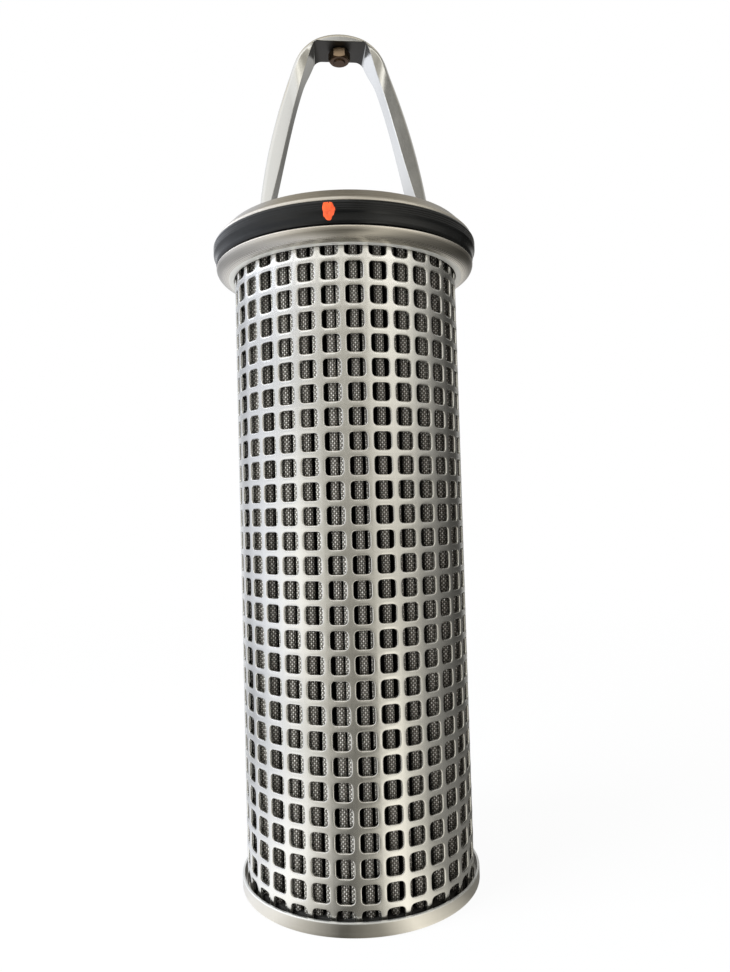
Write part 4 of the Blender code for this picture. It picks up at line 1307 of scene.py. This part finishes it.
class STRAINER_OT_stage(bpy.types.Operator):
    """Sets the pale floor, the soft lights, the white surroundings and the camera"""

    bl_idname = "strainer.stage"
    bl_label = "Stage"

    def execute(self, context):
        s = context.scene.strainer_stage
        self.add_floor(s)
        self.add_world(context.scene)
        self.add_lights()
        self.add_tent(s)
        self.add_camera(context.scene, s)
        context.scene.view_settings.view_transform = "Standard"
        return {"FINISHED"}

    def seen_directly(self, tree):
        """1 for rays from the camera, from gloss and through glass, and 0 for the rest."""
        path = add_node(tree, "ShaderNodeLightPath")
        seen = math_node(tree, "MAXIMUM", path.outputs["Is Camera Ray"], path.outputs["Is Glossy Ray"])
        return math_node(tree, "MAXIMUM", seen, path.outputs["Is Transmission Ray"])

    def add_world(self, scene):
        world = bpy.data.worlds.new("studio_white")
        scene.world = world
        world.use_nodes = True
        tree = world.node_tree
        tree.nodes.clear()
        dim = add_node(tree, "ShaderNodeBackground")
        dim.inputs["Color"].default_value = (*WORLD_COLOR, 1.0)
        dim.inputs["Strength"].default_value = WORLD_LIGHT
        white = add_node(tree, "ShaderNodeBackground")
        white.inputs["Strength"].default_value = 1.0
        white.inputs["Color"].default_value = (1.0, 1.0, 1.0, 1.0)
        mix = add_node(tree, "ShaderNodeMixShader")
        out = add_node(tree, "ShaderNodeOutputWorld")
        link(tree, self.seen_directly(tree), mix.inputs["Fac"])
        link(tree, dim.outputs["Background"], mix.inputs[1])
        link(tree, white.outputs["Background"], mix.inputs[2])
        link(tree, mix.outputs["Shader"], out.inputs["Surface"])

    def add_floor(self, s):
        deselect_all()
        bpy.ops.mesh.primitive_plane_add(size=s.floor_size, location=(0, 0, -FLOOR_DROP))
        floor = bpy.context.object
        floor.name = "studio_floor"
        apply_place(floor)
        material = bpy.data.materials.new("floor_white")
        material.use_nodes = True
        tree = material.node_tree
        tree.nodes.clear()
        pale = add_node(tree, "ShaderNodeBsdfDiffuse")
        pale.inputs["Color"].default_value = (*s.floor, 1.0)
        glow = add_node(tree, "ShaderNodeEmission")
        glow.inputs["Strength"].default_value = 1.0
        mix = add_node(tree, "ShaderNodeMixShader")
        out = add_node(tree, "ShaderNodeOutputMaterial")
        place = add_node(tree, "ShaderNodeVectorMath", operation="LENGTH")
        link(tree, add_node(tree, "ShaderNodeTexCoord").outputs["Object"], place.inputs[0])
        beyond = math_node(tree, "SUBTRACT", place.outputs["Value"], GLOW_START)
        away = math_node(tree, "DIVIDE", beyond, GLOW_REACH, clamp=True)
        near = math_node(tree, "POWER", math_node(tree, "SUBTRACT", 1.0, away), GLOW_POWER)
        glow_share = math_node(tree, "SUBTRACT", 1.0, math_node(tree, "MULTIPLY", near, 1.0 - s.near_glow))
        share = math_node(tree, "MULTIPLY", self.seen_directly(tree), glow_share)
        link(tree, share, mix.inputs["Fac"])
        link(tree, pale.outputs["BSDF"], mix.inputs[1])
        link(tree, glow.outputs["Emission"], mix.inputs[2])
        link(tree, mix.outputs["Shader"], out.inputs["Surface"])
        floor.data.materials.append(material)

    def add_area(self, name, place, target, size, power, tint):
        """A square soft light that faces its target and isn't seen in reflections."""
        deselect_all()
        bpy.ops.object.light_add(type="AREA", location=place)
        lamp = bpy.context.object
        lamp.name = name
        lamp.data.size = size
        lamp.data.energy = power
        lamp.data.color = tint
        lamp.visible_glossy = False
        lamp.rotation_euler = (Vector(target) - Vector(place)).to_track_quat("-Z", "Y").to_euler()

    def add_lights(self):
        for name, place, size, power, tint in LAMPS:
            self.add_area(name, place, LAMP_TARGET, size, power, tint)

    def cloth_ramp(self, tree, around, light_list):
        """The cloth's colour round the tent, from a list of (degrees, light, warmth)."""
        ramp = add_node(tree, "ShaderNodeValToRGB")
        link(tree, around, ramp.inputs["Fac"])
        stops = ramp.color_ramp.elements
        for angle, light, warmth in light_list:
            position = angle / 360.0 + 0.5
            stop = {0.0: stops[0], 1.0: stops[-1]}.get(position) or stops.new(position)
            red = light / TENT_STRENGTH
            stop.color = (red, red * (1 - WARM_GREEN * warmth), red * (1 - WARM_BLUE * warmth), 1.0)
        return ramp.outputs["Color"]

    def add_tent(self, s):
        """A cloth tent round the strainer, seen only in reflections, lighter and darker from side to side."""
        radius, height = s.tent_radius, s.tent_height
        profile = [(TENT_OPENING, TENT_HEM), (radius, TENT_HEM), (radius, height), (TENT_EYE, height)]
        tent = turn_profile(profile, TENT_STEPS, capped=True)
        tent.name = "studio_tent"
        material = bpy.data.materials.new("tent_cloth")
        material.use_nodes = True
        tree = material.node_tree
        tree.nodes.clear()
        split = add_node(tree, "ShaderNodeSeparateXYZ")
        link(tree, add_node(tree, "ShaderNodeTexCoord").outputs["Object"], split.inputs["Vector"])
        behind = math_node(tree, "MULTIPLY", split.outputs["Y"], -1.0)
        azimuth = math_node(tree, "DIVIDE", math_node(tree, "ARCTAN2", split.outputs["X"], behind), FULL_TURN)
        around = math_node(tree, "ADD", azimuth, 0.5)
        level = math_node(tree, "ADD", split.outputs["Z"], radius_from(tree, split))
        level = math_node(tree, "SUBTRACT", level, radius)
        cloth = self.cloth_ramp(tree, around, BY_THE_FOOT)
        for start, end, light_list in TENT_BANDS:
            above = math_node(tree, "SUBTRACT", level, start)
            climb = math_node(tree, "DIVIDE", above, end - start, clamp=True)
            cloth = mix_colors(tree, climb, cloth, self.cloth_ramp(tree, around, light_list))
        glow = add_node(tree, "ShaderNodeEmission")
        link(tree, cloth, glow.inputs["Color"])
        glow.inputs["Strength"].default_value = TENT_STRENGTH
        roof = add_node(tree, "ShaderNodeEmission")
        roof.inputs["Color"].default_value = (*ROOF_COLOR, 1.0)
        off = add_node(tree, "ShaderNodeVectorMath", operation="DISTANCE")
        link(tree, add_node(tree, "ShaderNodeTexCoord").outputs["Object"], off.inputs[0])
        off.inputs[1].default_value = ROOF_DARKEST
        outside = math_node(tree, "SUBTRACT", off.outputs["Value"], ROOF_DARK_RADIUS)
        beyond = math_node(tree, "MAXIMUM", outside, 0.0)
        roof_light = math_node(tree, "ADD", math_node(tree, "MULTIPLY", beyond, ROOF_GAIN), 1.0)
        link(tree, roof_light, roof.inputs["Strength"])
        under_roof = math_node(tree, "GREATER_THAN", split.outputs["Z"], height - ROOF_BAND)
        mix = add_node(tree, "ShaderNodeMixShader")
        out = add_node(tree, "ShaderNodeOutputMaterial")
        link(tree, under_roof, mix.inputs["Fac"])
        link(tree, glow.outputs["Emission"], mix.inputs[1])
        link(tree, roof.outputs["Emission"], mix.inputs[2])
        link(tree, mix.outputs["Shader"], out.inputs["Surface"])
        tent.data.materials.append(material)
        tent.visible_camera = False
        tent.visible_diffuse = False
        tent.visible_transmission = False
        tent.visible_shadow = False

    def add_camera(self, scene, s):
        """The camera at the photograph's place, gone round the strainer by the strainer's turn."""
        data = bpy.data.cameras.new("photo_camera")
        data.sensor_width = SENSOR_WIDTH
        data.lens = s.focal_pixels / PHOTO_HEIGHT * SENSOR_WIDTH
        data.clip_start, data.clip_end = 0.01, 50.0
        camera = bpy.data.objects.new("photo_camera", data)
        scene.collection.objects.link(camera)
        across = s.camera_distance * math.sin(s.turn)
        along = s.camera_distance * math.cos(s.turn)
        place = Vector((-across, -along, s.camera_height))
        heading = Matrix.Rotation(-s.turn - s.yaw, 4, "Z")
        tilt = Matrix.Rotation(math.pi / 2 + s.tilt, 4, "X")
        roll = Matrix.Rotation(-s.roll, 4, "Z")
        camera.matrix_world = Matrix.Translation(place) @ heading @ tilt @ roll
        scene.camera = camera


class STRAINER_PT_panel(bpy.types.Panel):
    bl_label = "Basket strainer"
    bl_idname = "STRAINER_PT_panel"
    bl_space_type = "VIEW_3D"
    bl_region_type = "UI"
    bl_category = "Strainer"

    def draw(self, context):
        for operator in OPERATORS:
            self.layout.operator(operator.bl_idname)
        for attribute in SETTINGS:
            box = self.layout.box()
            group = getattr(context.scene, attribute)
            for name in group.__annotations__:
                box.prop(group, name)


SETTINGS = {
    "strainer_jacket": JacketSettings,
    "strainer_mesh_pack": MeshPackSettings,
    "strainer_flange": FlangeSettings,
    "strainer_seal": SealSettings,
    "strainer_cup": CupSettings,
    "strainer_bail": BailSettings,
    "strainer_nut": NutSettings,
    "strainer_paint": PaintSettings,
    "strainer_stage": StageSettings,
}

OPERATORS = (
    STRAINER_OT_jacket,
    STRAINER_OT_mesh_pack,
    STRAINER_OT_flange,
    STRAINER_OT_seal,
    STRAINER_OT_cup,
    STRAINER_OT_bail,
    STRAINER_OT_nut,
    STRAINER_OT_paint_dab,
    STRAINER_OT_stage,
)


def register():
    for attribute, group in SETTINGS.items():
        bpy.utils.register_class(group)
        setattr(bpy.types.Scene, attribute, PointerProperty(type=group))
    for operator in OPERATORS:
        bpy.utils.register_class(operator)
    bpy.utils.register_class(STRAINER_PT_panel)


def unregister():
    bpy.utils.unregister_class(STRAINER_PT_panel)
    for operator in reversed(OPERATORS):
        bpy.utils.unregister_class(operator)
    for attribute, group in SETTINGS.items():
        delattr(bpy.types.Scene, attribute)
        bpy.utils.unregister_class(group)


def main():
    register()
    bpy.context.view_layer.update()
    for operator in OPERATORS:
        family, name = operator.bl_idname.split(".")
        getattr(getattr(bpy.ops, family), name)()


if __name__ == "__main__":
    main()
